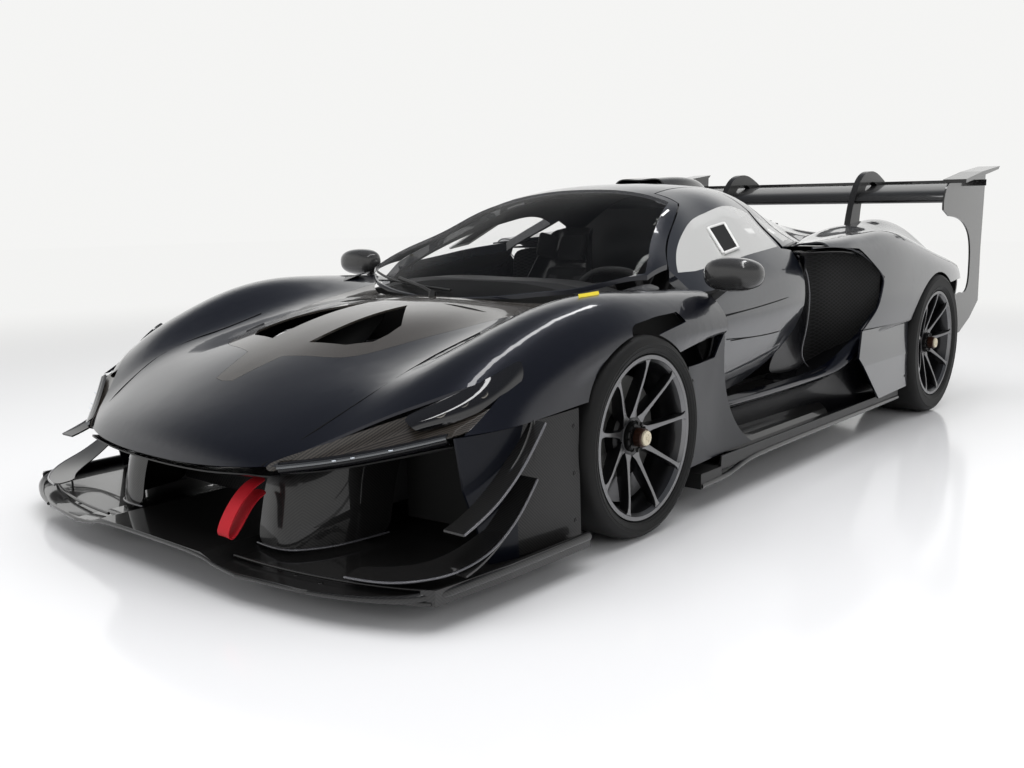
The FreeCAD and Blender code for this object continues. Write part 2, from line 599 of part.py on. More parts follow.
# Splitter: one shelf whose middle stands higher than its ends
splitter_half = [(-1152, 0), (-1152, 300), (-1150, 425), (-1119, 650), (-1060, 820), (-972, 985),
    (-700, 1006), (-352, 1012), (-352, 800), (-430, 640), (-430, 0)]
splitter_edge = splitter_half + [(x, -y) for x, y in reversed(splitter_half[1:-1])]
step_line = [(1020, 70), (420, 72), (330, 78), (262, 98), (0, 99)]
step_under = step_line + [(-y, z) for y, z in reversed(step_line[:-1])]
step_over = [(y, z + 13) for y, z in reversed(step_under)]
splitter = end_block(step_under + step_over, -1300, -300).common(plan_block(splitter_edge, 60, 200))
shelf_lip = plan_block([(-990, 952), (-972, 985), (-700, 1006), (-352, 1012), (-352, 1004), (-700, 998),
    (-966, 977)], 82.5, 112)
feature("splitter", gather([splitter.fuse([shelf_lip, mirrored(shelf_lip)])]))

# Headlamps: a dark shelf with a light strip along its front and a lens block at its outer end
recess = bonnet_face.makeOffsetShape(inward(bonnet_face) * 32.0, 0.01, False, False, 0, 0, False)
recess_depth = inward(bonnet_face)
shelf_plan = [(-1300, 440), (-1058, 440), (-950, 536), (-838, 643), (-733, 748), (-640, 815), (-552, 856),
    (-480, 868),
              (-480, 892), (-600, 905), (-700, 909), (-800, 905), (-1300, 900)]
shelf_zone = plan_block(shelf_plan, 200, 900, smooth=((1, 7), (8, 11)))
lamp_shelf = thicken(recess.Faces[0], recess_depth * 6.0).common(shelf_zone).cut(panel(corner_face,
    float(skin) + 2))
feature("lamp_shelves", both(keep_large(lamp_shelf)))

lens_plan = [(-815, 700), (-745, 768), (-650, 832), (-560, 872), (-508, 880), (-560, 886), (-650, 884),
    (-740, 866), (-800, 800)]
lens_zone = plan_block(lens_plan, 200, 900, smooth=((0, 4), (4, 7)))
lens_face = bonnet_face.makeOffsetShape(inward(bonnet_face) * 12.0, 0.01, False, False, 0, 0, False)
lamp_lens = thicken(lens_face.Faces[0], recess_depth * 18.0).common(lens_zone)
strip_line = ((-1052, 470, 350), (-928, 640, 383), (-851, 751, 417), (-778, 858, 446))
strip_sections = [outline([at(x, y, z), at(x + 4, y, z + 20), at(x + 40, y, z + 14),
    at(x + 40, y, z)]) for x, y, z in strip_line]
light_strip = Part.makeLoft(strip_sections, True, False)
feature("headlamps", both(keep_large(lamp_lens), keep_large(light_strip.cut([lamp_shelf, bonnet_shell]))))

# Nose: dark walls of the wide intake under the bonnet and lamps
nose_wall = plan_block([(-660, -860), (-660, 860), (-641, 860), (-641, -860)], 112.4, 500)
nose_side = plan_block([(-660, 850), (-660, 868), (-420, 868), (-420, 850)], 84.6, 440)
lid_half = [(-1098, 0), (-1086, 215), (-1036, 430), (-970, 556), (-896, 690), (-836, 806), (-800, 860),
    (-660, 860)]
lid_edge = lid_half + [(x, -y) for x, y in reversed(lid_half[1:])]
nose_lid = plan_block(lid_edge, 300, 306)
fin = plan_block([(-1000, 372), (-1000, 380), (-660, 402), (-660, 380)], 92, 300)
nose_walls = nose_wall.fuse([nose_side, mirrored(nose_side), nose_lid, fin, mirrored(fin)])
nose_rest = nose_walls.cut([lamp_shelf, mirrored(lamp_shelf), lamp_lens, mirrored(lamp_lens), light_strip,
    mirrored(light_strip)])
feature("nose_duct", gather([max(nose_rest.Solids, key=lambda solid: solid.Volume)]))

# Floor: a flat plate between the wheels, then a rising diffuser with strakes
floor_half = [(-424, 0), (-424, 580), (-330, 590), (340, 590), (420, 880), (2300, 880), (2330, 640),
    (2420, 600), (2420, 0)]
floor_edge = floor_half + [(x, -y) for x, y in reversed(floor_half[1:-1])]
floor_top = float(floor_base + floor_wall)
pad_drop = 8
pad_stations = (565, 2145)
flat_floor = plan_block(floor_edge, float(floor_base), floor_top)
diffuser = side_block([(2420, float(floor_base)), (3330, 300), (3330, 312), (2420, floor_top)], -600, 600)
strakes = [side_block([(2500, 100), (3330, 120), (3330, 296), (2500, 92)], y - 4, y + 4) for y in (-590,
    -360, -130, 130, 360, 590)]
floor = flat_floor.fuse([diffuser] + strakes)
pads = [Part.makeBox(110, 70, 8.5,
    at(x, y, float(floor_base) - pad_drop)) for x in pad_stations for y in (-815, 745)]
feature("floor", gather([floor.fuse(pads)]))

# Side skirts: a carbon edge along the floor, with a deeper foot behind each front wheel
skirt_edge = end_block([(880, 102), (955, 132), (960, 168), (966, 168), (964, 122), (890, 88), (880, 88)],
    520, 2290)
skirt_foot = plan_block([(374, 884), (374, 966), (521, 966), (521, 884)], 76, 130)
feature("side_skirts", both(skirt_edge.fuse(skirt_foot)))

# Sills below the doors: a rounded rail over a dark recess
sill_line = [(712, floor_top + 0.3), (712, 318), (852, 318), (866, 308), (858, 292), (800, 262), (790, 200),
    (850, 150), (872, 110), (872, floor_top + 0.3)]
rail_sections = [
    outline([at(x, y, z), at(x, y + 14, z), at(x, y + 14, z + high), at(x, y, z + high)])
    for x, y, z, high in ((1640, 846, 292, 24), (1720, 866, 318, 34), (1800, 892, 366, 38),
        (1868, 914, 420, 36), (1950, 934, 462, 25), (2080, 943, 484, 10))]
rail = Part.makeLoft(rail_sections, True, False)
sill = end_block(sill_line, 716, 1700).fuse(rail).cut([duct_floor, duct_wall])
feature("sills", both(sill))

# Monocoque: bulkheads and inner sills round the cabin
tub_side = side_block([(430, floor_top), (430, 560), (700, 314), (1640, 314), (1640, floor_top)], 660, 706)
front_wall = plan_block([(300, -640), (300, 640), (330, 640), (330, -640)], floor_top, 640)
foot_side = plan_block([(330, 600), (330, 640), (460, 706), (460, 660)], floor_top, 560)
rear_wall = end_block([(-706, floor_top), (-706, 314), (-640, 314), (-640, 780), (-560, 860), (-300, 1040),
    (300, 1040), (560, 860),
                       (640, 780), (640, 314), (706, 314), (706, floor_top)], 1640, 1668)
nose_box = side_block([(-640, 130), (-640, 400), (-260, 530), (300, 530), (300, floor_top),
    (-420, floor_top), (-420, 130)], -380, 380)
tub = front_wall.fuse([nose_box, tub_side, mirrored(tub_side), foot_side, mirrored(foot_side), rear_wall])
feature("tub", gather([tub]))

# Cabin
dash = end_block([(-650, 560), (-640, 700), (-400, 760), (0, 770), (400, 760), (640, 700), (650, 560)],
    330.3, 520, smooth=((1, 5),))
dash = dash.cut(panel(canopy_face, 60)).cut(tub)
feature("dashboard", gather([max(dash.Solids, key=lambda solid: solid.Volume)]))

seat_line = [(900, floor_top + 0.3), (880, 250), (1010, 270), (1230, 250), (1400, 640), (1455, 950),
    (1525, 960), (1525, 700), (1420, 200), (1380, floor_top + 0.3)]
seat = side_block(seat_line, 150, 560, smooth=((2, 5),))
seat_hollow = side_block([(860, 300), (900, 300), (1010, 305), (1210, 290), (1370, 660), (1428, 990),
    (1000, 990), (800, 500)], 200, 510)
seat = seat.cut([seat_hollow, end_block([(480, 1100), (480, 930), (530, 760), (700, 700), (700, 1100)],
    1300, 1600)])
feature("seats", both(seat))

wheel_rim = Part.makeCylinder(160, 24, Vector(0, 0, -12)).cut(Part.makeCylinder(134, 40, Vector(0, 0, -20)))
wheel_rim = wheel_rim.fuse([Part.makeCylinder(45, 26, Vector(0, 0, -13)),
    Part.makeBox(290, 40, 12, Vector(-145, -20, -6))])
column = Part.makeCylinder(22, 190, Vector(0, 0, -203))
steering = wheel_rim.fuse(column)
steering.Placement = Placement(at(690, -355, 690), Rotation(Vector(0, 0, 1), 90))
steering.rotate(at(690, -355, 690), Vector(0, 1, 0), 66)
feature("steering_wheel", gather([steering.cut(dash)]))

# Engine and gearbox as one plain block behind the cabin
engine = side_block([(1720, floor_top + 0.3), (1720, 720), (2300, 760), (2900, 480), (2900, 240),
    (2420, floor_top + 0.3)], -300, 300)
feature("engine", engine)

# Rear wing: an aerofoil between the end plates, hung from two swan necks
wing_front = 3036
wing_low = 1056
wing_top = 1150


def aerofoil(y):
    top = [(0, 14), (0.06, 42), (0.25, 74), (0.55, 98), (0.8, 108), (1.0, 112)]
    under = [(1.0, 106), (0.8, 92), (0.55, 66), (0.25, 26), (0.06, 0), (0, 14)]
    points = [at(wing_front + share * float(wing_chord), y, wing_low + rise) for share,
        rise in top + under[:-1]]
    return outline(points, smooth=((0, 5), (6, 11)))


wing_half = float(plate_place)
wing = Part.makeLoft([aerofoil(-wing_half), aerofoil(wing_half)], True, True)
feature("wing", wing)

plate_line = [(3026, 1018), (3036, 1100), (3080, 1148), (3117, 1164), (3700, 1250), (3748, 1250),
    (3735, 800), (3748, 491), (3600, 400),
              (3418, 331), (3199, 330), (3199, 530), (3400, 560), (3532, 600), (3545, 700), (3500,
                  870), (3420, 930), (3300, 968), (3120, 985)]
plate = side_block(plate_line, float(plate_place), float(plate_place + plate_wall),
    smooth=((0, 3), (12, 18)))
winglet = side_block([(3110, 1158), (3700, 1244), (3722, 1262), (3400, 1225), (3110, 1178)],
    float(plate_place) - 30, float(plate_place) + 90)
feature("end_plates", both(plate.fuse(winglet)))

neck_line = [(2966, 905), (3010, 1040), (3060, 1130), (3130, 1200), (3230, 1236), (3340, 1232),
    (3440, 1200), (3490, 1172), (3500, 1140), (3380, 1140),
             (3340, 1168), (3260, 1178), (3190, 1150), (3140, 1080), (3115, 990), (3105, 905)]
neck = side_block(neck_line, float(neck_place - neck_wall / 2), float(neck_place + neck_wall / 2),
    smooth=((0, 8), (9, 15)))
neck = neck.cut(wing)
feature("swan_necks", both(gather([max(neck.cut(panel(haunch_face, 30)).Solids,
    key=lambda solid: solid.Volume)])))

# Tail: a dark frame with an open mesh, slim lamps and three exhaust pipes
tail_half = [(640, 330), (860, 420), (988, 560), (984, 690), (958, 735), (915, 760), (830, 806), (760, 856),
    (690, 884)]
tail_frame = end_block([(-y, z) for y, z in reversed(tail_half)] + tail_half, 3052, 3080)
tail_hole = end_block([(-800, 590), (-800, 700), (-610, 820), (610, 820), (800, 700), (800, 590),
    (600, 370), (-600, 370)], 3000, 3100)
tail_wrap = panel(haunch_face, skin + glue)
tail_rest = tail_frame.cut([tail_hole, tail_wrap, mirrored(tail_wrap)])
feature("tail_frame", gather([max(tail_rest.Solids, key=lambda solid: solid.Volume)]))
tail_lamp = end_block([(300, 760), (560, 770), (790, 690), (796, 702), (564, 784), (300, 774)], 3054, 3094)
feature("tail_lamps", both(tail_lamp))

# Soft tow loop under the nose
loop_line = [(-1000, 300), (-1046, 296), (-1128, 178), (-1112, 160), (-1010, 270), (-1000, 272)]
feature("tow_loop", side_block(loop_line, -352, -310))

# Suspension arms
def rod(start, end, radius=14):
    return Part.makeCylinder(radius, (end - start).Length, start, end - start)


front_arms = [rod(at(dx, 360, low), at(0, 800, high)).cut(side_block([(-400, 100), (-400, 700), (400, 700),
    (400, 100)], 300, 380.3))
              for dx, low, high in ((-170, 190, 150), (170, 190, 150), (-150, 480, 506), (150, 480, 506))]
front_hub_z = float(front_tyre_size) / 2
rear_hub_z = float(rear_tyre_size) / 2
front_upright = Part.makeBox(90, 60, 300, Vector(-45, 740,
    178)).cut(Part.makeCylinder(float(axle_size / 2 + axle_play), 200, Vector(0, 700, front_hub_z),
    Vector(0, 1, 0)))


def brake_caliper(side_face, hub_z, x_axle):
    """A caliper astride the disc's front edge."""
    outer = float(side_face) - float(disc_inset) + 18
    inner = float(side_face) - float(disc_inset) - float(disc_width) - 18
    shell = Part.makeCylinder(214, outer - inner, Vector(0, inner, 0), Vector(0, 1, 0), 70)
    shell = shell.cut(Part.makeCylinder(136, 400, Vector(0, inner - 50, 0), Vector(0, 1, 0)))
    gap = Part.makeCylinder(float(disc_size) / 2 + 5, float(disc_width) + 10, Vector(0, inner + 13, 0),
        Vector(0, 1, 0))
    shell = shell.cut(gap)
    shell.rotate(Vector(0, 0, 0), Vector(0, 1, 0), 145)
    shell.translate(Vector(x_axle, 0, hub_z))
    return shell


front_arm_set = gather(front_arms)
feature("front_suspension", both(front_arm_set))
front_bracket = Part.makeBox(150, 24, 60, Vector(-190, 768, front_hub_z - 30)).fuse(Part.makeBox(40, 74, 60,
    Vector(-190, 768, front_hub_z - 30)))
for name, turn in (("right", 1), ("left", -1)):
    piece = front_upright.fuse([brake_caliper(front_face, front_hub_z, 0.0), front_bracket])
    feature(f"upright_{name}", gather([piece if turn > 0 else mirrored(piece)]))

rear_x = float(wheelbase)
engine_side = side_block([(2400, 100), (2400, 700), (3100, 700), (3100, 100)], 200, 300.3)
rear_upright = Part.makeBox(100, 60, 360, Vector(rear_x - 50, 690,
    170)).cut(Part.makeCylinder(float(axle_size / 2 + axle_play), 200, Vector(rear_x, 650, rear_hub_z),
    Vector(0, 1, 0)))
rear_arms = [rod(Vector(rear_x + dx, 280, z), Vector(rear_x, 700, hub_end)).cut(engine_side)
             for dx, z, hub_end in ((-190, 210, 210), (190, 262, 210), (-170, 470, 470), (170, 430, 470))]
rear_bracket = Part.makeBox(150, 24, 60, Vector(rear_x - 190, 726, rear_hub_z - 30)).fuse(Part.makeBox(40,
    140, 60, Vector(rear_x - 190, 726, rear_hub_z - 30)))
rear_set = rear_upright.fuse([brake_caliper(rear_face, rear_hub_z, rear_x), rear_bracket] + rear_arms)
feature("rear_suspension", both(gather([rear_set])))


# Wheels: each tyre, and each rim with its disc, turns on the Y axis of its own body
def turned_body(name, corners):
    """A PartDesign body revolved about the wheel's axle. A corner is (radius, place along it)."""
    body = doc.addObject("PartDesign::Body", name)
    body.Label = name
    plane = next(part for part in body.Origin.OriginFeatures if part.Role == "XY_Plane")
    sketch = body.newObject("Sketcher::SketchObject", name + "_profile")
    sketch.AttachmentSupport = [(plane, "")]
    sketch.MapMode = "FlatFace"
    count = len(corners)
    for index in range(count):
        first = corners[index]
        last = corners[(index + 1) % count]
        sketch.addGeometry(Part.LineSegment(
            Vector(float(first[0]), float(first[1]), 0), Vector(float(last[0]), float(last[1]), 0)), False)
    for index in range(count):
        sketch.addConstraint(Sketcher.Constraint("Coincident", index, 2, (index + 1) % count, 1))
    for index, corner in enumerate(corners):
        for kind, value in zip(("DistanceX", "DistanceY"), corner):
            number = sketch.addConstraint(Sketcher.Constraint(kind, -1, 1, index, 1, float(value)))
            if isinstance(value, Size):
                sketch.setExpression(f"Constraints[{number}]", value.words)
    revolve = body.newObject("PartDesign::Revolution", name + "_turned")
    revolve.Profile = sketch
    revolve.ReferenceAxis = (sketch, ["V_Axis"])
    revolve.Angle = 360
    body.Tip = revolve
    sketch.Visibility = False
    return body


def tyre_corners(width, outer):
    """The tyre's section, with its outer sidewall on the positive side of the axle."""
    half = width / 2
    seat = rim_seat / 2
    lip = rim_size / 2
    top = outer / 2
    return [
        (seat, -(half - 30)), (lip + 1, -(half - 22)), (lip + 16, -half), (top - 24, -(half - 5)), (top,
            -(half - 36)),
        (top, half - 36), (top - 24, half - 5), (lip + 16, half), (lip + 1, half - 22), (seat, half - 30)]


def rim_piece(face, width, side):
    """Barrel, hub, spokes, centre nut and brake disc of one wheel, about the Y axis at Y = 0 on its face."""
    seat = float(rim_seat) / 2 - 0.3
    deep = float(width) - 24
    lip = float(rim_size) / 2
    wall = float(barrel_wall)
    section = [Vector(lip, 0, 0), Vector(lip, -8, 0), Vector(seat, -15, 0), Vector(seat, -deep + 13, 0),
        Vector(seat + 8, -deep, 0),
               Vector(seat - 1, -deep, 0), Vector(seat - wall, -deep + 18, 0), Vector(seat - wall, -20,
                   0), Vector(lip - float(lip_width), 0, 0)]
    barrel = Part.Face(outline(section)).revolve(Vector(0, 0, 0), Vector(0, 1, 0), 360)
    hub = Part.makeCylinder(float(hub_size) / 2, float(spoke_depth), Vector(0, -float(spoke_depth) - 18, 0),
        Vector(0, 1, 0))
    nut = Part.makeCylinder(float(nut_size) / 2, float(nut_height), Vector(0, -18, 0), Vector(0, 1, 0))
    bell = Part.makeCylinder(86, 60, Vector(0, -float(disc_inset) - 20, 0), Vector(0, 1, 0))
    disc = Part.makeCylinder(float(disc_size) / 2, float(disc_width),
        Vector(0, -float(disc_inset) - float(disc_width), 0), Vector(0, 1, 0))
    axle = Part.makeCylinder(float(axle_size) / 2, 90,
        Vector(0, -float(disc_inset) - float(disc_width) - 88, 0), Vector(0, 1, 0))
    spokes = []
    width_half = float(spoke_width) / 2
    reach = lip - float(lip_width) - 4
    for index in range(int(float(spoke_count))):
        foot = outline([Vector(30, -18, -17), Vector(30, -18, 17), Vector(30, -18 - float(spoke_depth), 13),
            Vector(30, -18 - float(spoke_depth), -13)])
        waist = outline([Vector(reach * 0.6, -20, -width_half * 0.9),
            Vector(reach * 0.6, -20, width_half * 0.9),
                         Vector(reach * 0.6, -50, width_half * 0.7), Vector(reach * 0.6, -50,
                             -width_half * 0.7)])
        tip = outline([Vector(reach, -4, -width_half), Vector(reach, -4, width_half),
                       Vector(reach - 7, -34, width_half * 0.8), Vector(reach - 7, -34, -width_half * 0.8)])
        spoke = Part.makeLoft([foot, waist, tip], True, False)
        spoke.rotate(Vector(0, 0, 0), Vector(0, 1, 0), 360.0 * index / float(spoke_count) + 2)
        spokes.append(spoke)
    rim = barrel.fuse([hub, nut, bell, disc, axle] + spokes)
    return rim if side > 0 else mirrored(rim)


for axle_name, x, face, outer, width in (
        ("front", wheelbase * 0, front_face, front_tyre_size, front_tyre_width),
        ("rear", wheelbase * 1, rear_face, rear_tyre_size, rear_tyre_width)):
    for side_name, side in (("left", -1), ("right", 1)):
        tyre = turned_body(f"tyre_{axle_name}_{side_name}", tyre_corners(width, outer))
        middle = face + tyre_bulge - width / 2
        place(tyre, x, middle * side, outer / 2)
        parts.append(tyre)
        rim = doc.addObject("Part::Feature", f"rim_{axle_name}_{side_name}")
        rim.Label = f"rim_{axle_name}_{side_name}"
        rim.Shape = rim_piece(face, width, side)
        place(rim, x, face * side, outer / 2)
        parts.append(rim)

doc.recompute()
faults = [item.Label for item in doc.Objects if "Invalid" in item.State or "Error" in item.State]
for item in parts:
    if item.Shape.isNull() or not item.Shape.isValid() or not item.Shape.Solids:
        faults.append(item.Label)
if faults:
    raise ValueError("unsound pieces: " + ", ".join(faults))
os.makedirs("parts", exist_ok=True)
for item in parts:
    item.Shape.exportStep(f"parts/{item.Label}.step")
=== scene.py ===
import math

import bpy
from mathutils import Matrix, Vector


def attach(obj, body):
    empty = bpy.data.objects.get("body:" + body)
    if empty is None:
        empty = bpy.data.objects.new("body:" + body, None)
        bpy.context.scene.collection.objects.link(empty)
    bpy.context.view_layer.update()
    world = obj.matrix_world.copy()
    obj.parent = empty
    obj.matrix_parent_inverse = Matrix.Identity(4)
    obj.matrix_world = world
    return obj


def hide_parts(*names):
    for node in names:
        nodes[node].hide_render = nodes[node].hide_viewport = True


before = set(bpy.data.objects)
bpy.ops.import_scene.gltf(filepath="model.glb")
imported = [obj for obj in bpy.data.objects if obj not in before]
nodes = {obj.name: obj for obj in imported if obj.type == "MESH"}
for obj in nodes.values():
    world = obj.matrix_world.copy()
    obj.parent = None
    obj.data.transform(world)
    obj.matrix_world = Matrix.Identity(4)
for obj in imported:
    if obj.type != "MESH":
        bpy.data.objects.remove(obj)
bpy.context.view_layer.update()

# Shapes are given in millimetres from the middle of the front axle, with X to the rear, Y to the
# car's right and Z up from the ground. The frame itself is in metres, counted from the car's middle.
WHEELBASE, FRONT_OVERHANG, REAR_OVERHANG = 2691, 1155, 1057
FRONT_AXLE = (WHEELBASE + REAR_OVERHANG - FRONT_OVERHANG) / 2


def at(x, y, z):
    """A place as seen from the front axle, in the frame's own metres."""
    return (x - FRONT_AXLE) / 1000, y / 1000, z / 1000


def node(tree, kind, inputs=(), **settings):
    """Adds a shader node. An input takes a number, a colour or what another node puts out."""
    added = tree.nodes.new("ShaderNode" + kind)
    for key, setting in settings.items():
        setattr(added, key, setting)
    for key, source in dict(inputs).items():
        if isinstance(source, bpy.types.NodeSocket):
            tree.links.new(source, added.inputs[key])
        else:
            added.inputs[key].default_value = source
    return added


def result(tree, operation, *sources):
    return node(tree, "Math", enumerate(sources), operation=operation).outputs[0]


def shader_of(material):
    return material.node_tree.nodes["Principled BSDF"]


def principled(name, color, roughness, metallic=0.0, coat=0.0, **more):
    material = bpy.data.materials.new(name)
    material.use_nodes = True
    values = {"Roughness": roughness, "Metallic": metallic, "Coat Weight": coat, **more}
    shader = shader_of(material)
    shader.inputs["Base Color"].default_value = (*color, 1)
    for key, value in values.items():
        shader.inputs[key.replace("_", " ")].default_value = value
    return material


def bumped(material, height, strength, distance):
    tree = material.node_tree
    bump = node(tree, "Bump", {"Height": height, "Strength": strength, "Distance": distance})
    tree.links.new(bump.outputs["Normal"], shader_of(material).inputs["Normal"])
    return material


def fine_bump(material, scale, strength, distance=0.001):
    """Small surface unevenness, in Object coordinates."""
    tree = material.node_tree
    place = node(tree, "TexCoord").outputs["Object"]
    noise = node(tree, "TexNoise", {"Vector": place, "Scale": scale})
    return bumped(material, noise.outputs["Fac"], strength, distance)


def two_tone(material, mask, dark, light):
    tree = material.node_tree
    tint = node(tree, "Mix", {"Factor": mask, "A": (*dark, 1), "B": (*light, 1)}, data_type="RGBA")
    tree.links.new(tint.outputs["Result"], shader_of(material).inputs["Base Color"])
    return material


# Stage: a pale floor that runs into the white background, a world that is white near the horizon
# and darker overhead, and soft panels of light that gloss doesn't mirror, but for one narrow one
bpy.ops.object.select_all(action="DESELECT")
bpy.ops.mesh.primitive_plane_add(size=60, location=(0, 0, 0))
floor = bpy.context.object
floor.name = "studio_floor"
floor_material = principled("studio_floor", (0.70, 0.70, 0.71), 0.13)
tree = floor_material.node_tree
distance = node(tree, "VectorMath", {0: node(tree, "TexCoord").outputs["Object"]}, operation="LENGTH")
fade = node(tree, "MapRange", {"Value": distance.outputs["Value"], "From Min": 3.5, "From Max": 9.0},
            interpolation_type="SMOOTHSTEP")
far = node(tree, "Emission", {"Color": (0.90, 0.90, 0.89, 1)})
blend = node(tree, "MixShader", {"Fac": fade.outputs["Result"], 1: shader_of(floor_material).outputs[0],
                                 2: far.outputs[0]})
tree.links.new(blend.outputs[0], tree.nodes["Material Output"].inputs["Surface"])
floor.data.materials.append(floor_material)

world = bpy.data.worlds.new("studio")
bpy.context.scene.world = world
world.use_nodes = True
tree = world.node_tree
tree.nodes.clear()
rays = node(tree, "LightPath").outputs
direct = result(tree, "MAXIMUM", rays["Is Camera Ray"], rays["Is Transmission Ray"])
seen = result(tree, "MAXIMUM", direct, rays["Is Glossy Ray"])
height = node(tree, "SeparateXYZ", {0: node(tree, "TexCoord").outputs["Generated"]}).outputs["Z"]
ramp = node(tree, "MapRange", {"Value": height, "From Min": 0.30, "From Max": 0.72},
            interpolation_type="SMOOTHSTEP")
wall = node(tree, "Mix", {"Factor": ramp.outputs["Result"], "A": (0.91, 0.91, 0.90, 1),
                          "B": (0.17, 0.18, 0.20, 1)}, data_type="RGBA")
room = node(tree, "Background", {"Color": (0.92, 0.93, 0.95, 1), "Strength": 0.42})
white = node(tree, "Background", {"Color": wall.outputs["Result"], "Strength": 1.0})
mix = node(tree, "MixShader", {"Fac": seen, 1: room.outputs[0], 2: white.outputs[0]})
node(tree, "OutputWorld", {"Surface": mix.outputs[0]})

for name, place, turn, width, depth, power, glossy in (
        ("ceiling_light", (0.0, 0.0, 4.6), (0, 0, 0), 9.0, 6.0, 380, False),
        ("left_light", (-1.5, -7.0, 3.0), (66, 0, 0), 8.0, 3.0, 150, False),
        ("front_light", (-8.0, 1.5, 2.6), (0, -70, 0), 3.0, 6.0, 110, False),
        ("strip_light", (-1.0, -0.6, 4.4), (0, 0, 12), 7.0, 0.30, 60, True)):
    bpy.ops.object.light_add(type="AREA", location=place, rotation=[math.radians(a) for a in turn])
    light = bpy.context.object
    light.name = name
    light.data.shape = "RECTANGLE"
    light.data.size = width
    light.data.size_y = depth
    light.data.energy = power
    light.visible_glossy = glossy

# Camera at the photograph's viewpoint, solved from the ground contacts and the rims
CAMERA_PLACE = (-2729.1, -2686.8, 1030.5)
CAMERA_TURN = (80.589, 0.520, -50.533)
CAMERA_LENS = 36.588
bpy.ops.object.camera_add(location=at(*CAMERA_PLACE), rotation=[math.radians(a) for a in CAMERA_TURN])
camera = bpy.context.object
camera.data.sensor_width = 36
camera.data.lens = CAMERA_LENS
camera.data.clip_end = 200
bpy.context.scene.camera = camera
bpy.context.scene.view_settings.view_transform = "Standard"

# Twill weave: a group that gives 0 or 1 for the two thread directions, on the face's main plane
weave = bpy.data.node_groups.new("twill_weave", "ShaderNodeTree")
for name, kind in (("Vector", "Vector"), ("Normal", "Vector"), ("Thread", "Float")):
    weave.interface.new_socket(name, in_out="INPUT", socket_type="NodeSocket" + kind)
weave.interface.new_socket("Warp", in_out="OUTPUT", socket_type="NodeSocketFloat")
given = weave.nodes.new("NodeGroupInput").outputs
place = node(weave, "SeparateXYZ", {0: given["Vector"]}).outputs
facing = node(weave, "SeparateXYZ", {0: given["Normal"]}).outputs
size_x, size_y, size_z = (result(weave, "ABSOLUTE", axis) for axis in facing)
upward = result(weave, "GREATER_THAN", size_z, result(weave, "MAXIMUM", size_x, size_y))
level = result(weave, "SUBTRACT", 1.0, upward)
sideways = result(weave, "MULTIPLY", level, result(weave, "GREATER_THAN", size_y, size_x))
endways = result(weave, "SUBTRACT", level, sideways)
across = result(weave, "ADD", result(weave, "MULTIPLY", place["X"], result(weave, "ADD", upward, sideways)),
                result(weave, "MULTIPLY", place["Y"], endways))
along = result(weave, "ADD", result(weave, "MULTIPLY", place["Y"], upward),
               result(weave, "MULTIPLY", place["Z"], result(weave, "ADD", sideways, endways)))
column, line = (result(weave, "FLOOR", result(weave, "DIVIDE", part, given["Thread"]))
                for part in (across, along))
step = result(weave, "FLOORED_MODULO", result(weave, "ADD", column, line), 4.0)
warp = result(weave, "LESS_THAN", step, 1.5)
weave.links.new(warp, weave.nodes.new("NodeGroupOutput").inputs["Warp"])


def carbon(name, dark, light, roughness, thread=0.0025, coat=1.0):
    """Lacquered twill; the thread's width is in metres."""
    material = principled(name, dark, roughness, coat=coat, Coat_Roughness=0.03, Coat_IOR=1.42,
                          Specular_IOR_Level=0.2)
    tree = material.node_tree
    twill = node(tree, "Group", node_tree=weave)
    twill.inputs["Thread"].default_value = thread
    tree.links.new(node(tree, "TexCoord").outputs["Object"], twill.inputs["Vector"])
    tree.links.new(node(tree, "NewGeometry").outputs["Normal"], twill.inputs["Normal"])
    return two_tone(material, twill.outputs["Warp"], dark, light)


def window(name, tint, share, roughness=0.02, outside_only=False):
    """Thin glazing: part of the light passes straight through, the rest meets a coated tint. With
    outside_only the tint is a painted reflection of the pale sky, which shows from outside and not through
    another window."""
    material = principled(name, tint, roughness, coat=1.0, Coat_Roughness=0.0)
    tree = material.node_tree
    clear = node(tree, "BsdfTransparent")
    if outside_only:
        depth = node(tree, "LightPath").outputs["Transparent Depth"]
        share = result(tree, "MULTIPLY", result(tree, "LESS_THAN", depth, 0.5), share)
    mix = node(tree, "MixShader", {"Fac": share, 1: clear.outputs[0], 2: shader_of(material).outputs[0]})
    tree.links.new(mix.outputs[0], tree.nodes["Material Output"].inputs["Surface"])
    return material


def dressed(piece, *materials):
    piece.data.materials.clear()
    for material in materials:
        piece.data.materials.append(material)
    return piece


# Body looks: deep blue-black lacquer, a lighter copy of it on the flanks as painted reflection, a darker
# copy with weaker gloss in the wheel's lee as painted shade, lacquered twill in four tones, blacks from
# satin to dull, thin glazing, rubber, three metals, cloth and webbing
lacquer = dict(metallic=0.55, coat=1.0, Coat_Roughness=0.012, Specular_IOR_Level=0.3)
ORANGE_PEEL = (900, 0.015, 0.0002)
paint = fine_bump(principled("paint_midnight", (0.0035, 0.0045, 0.010), 0.28, Coat_IOR=1.42, **lacquer),
                  *ORANGE_PEEL)
# A lighter copy of the lacquer for the doors and haunches: painted reflection of the pale studio on the
# flanks
lit_side_paint = fine_bump(principled("paint_lit_side", (0.010, 0.012, 0.018), 0.28, Coat_IOR=1.85, **lacquer),
                       *ORANGE_PEEL)
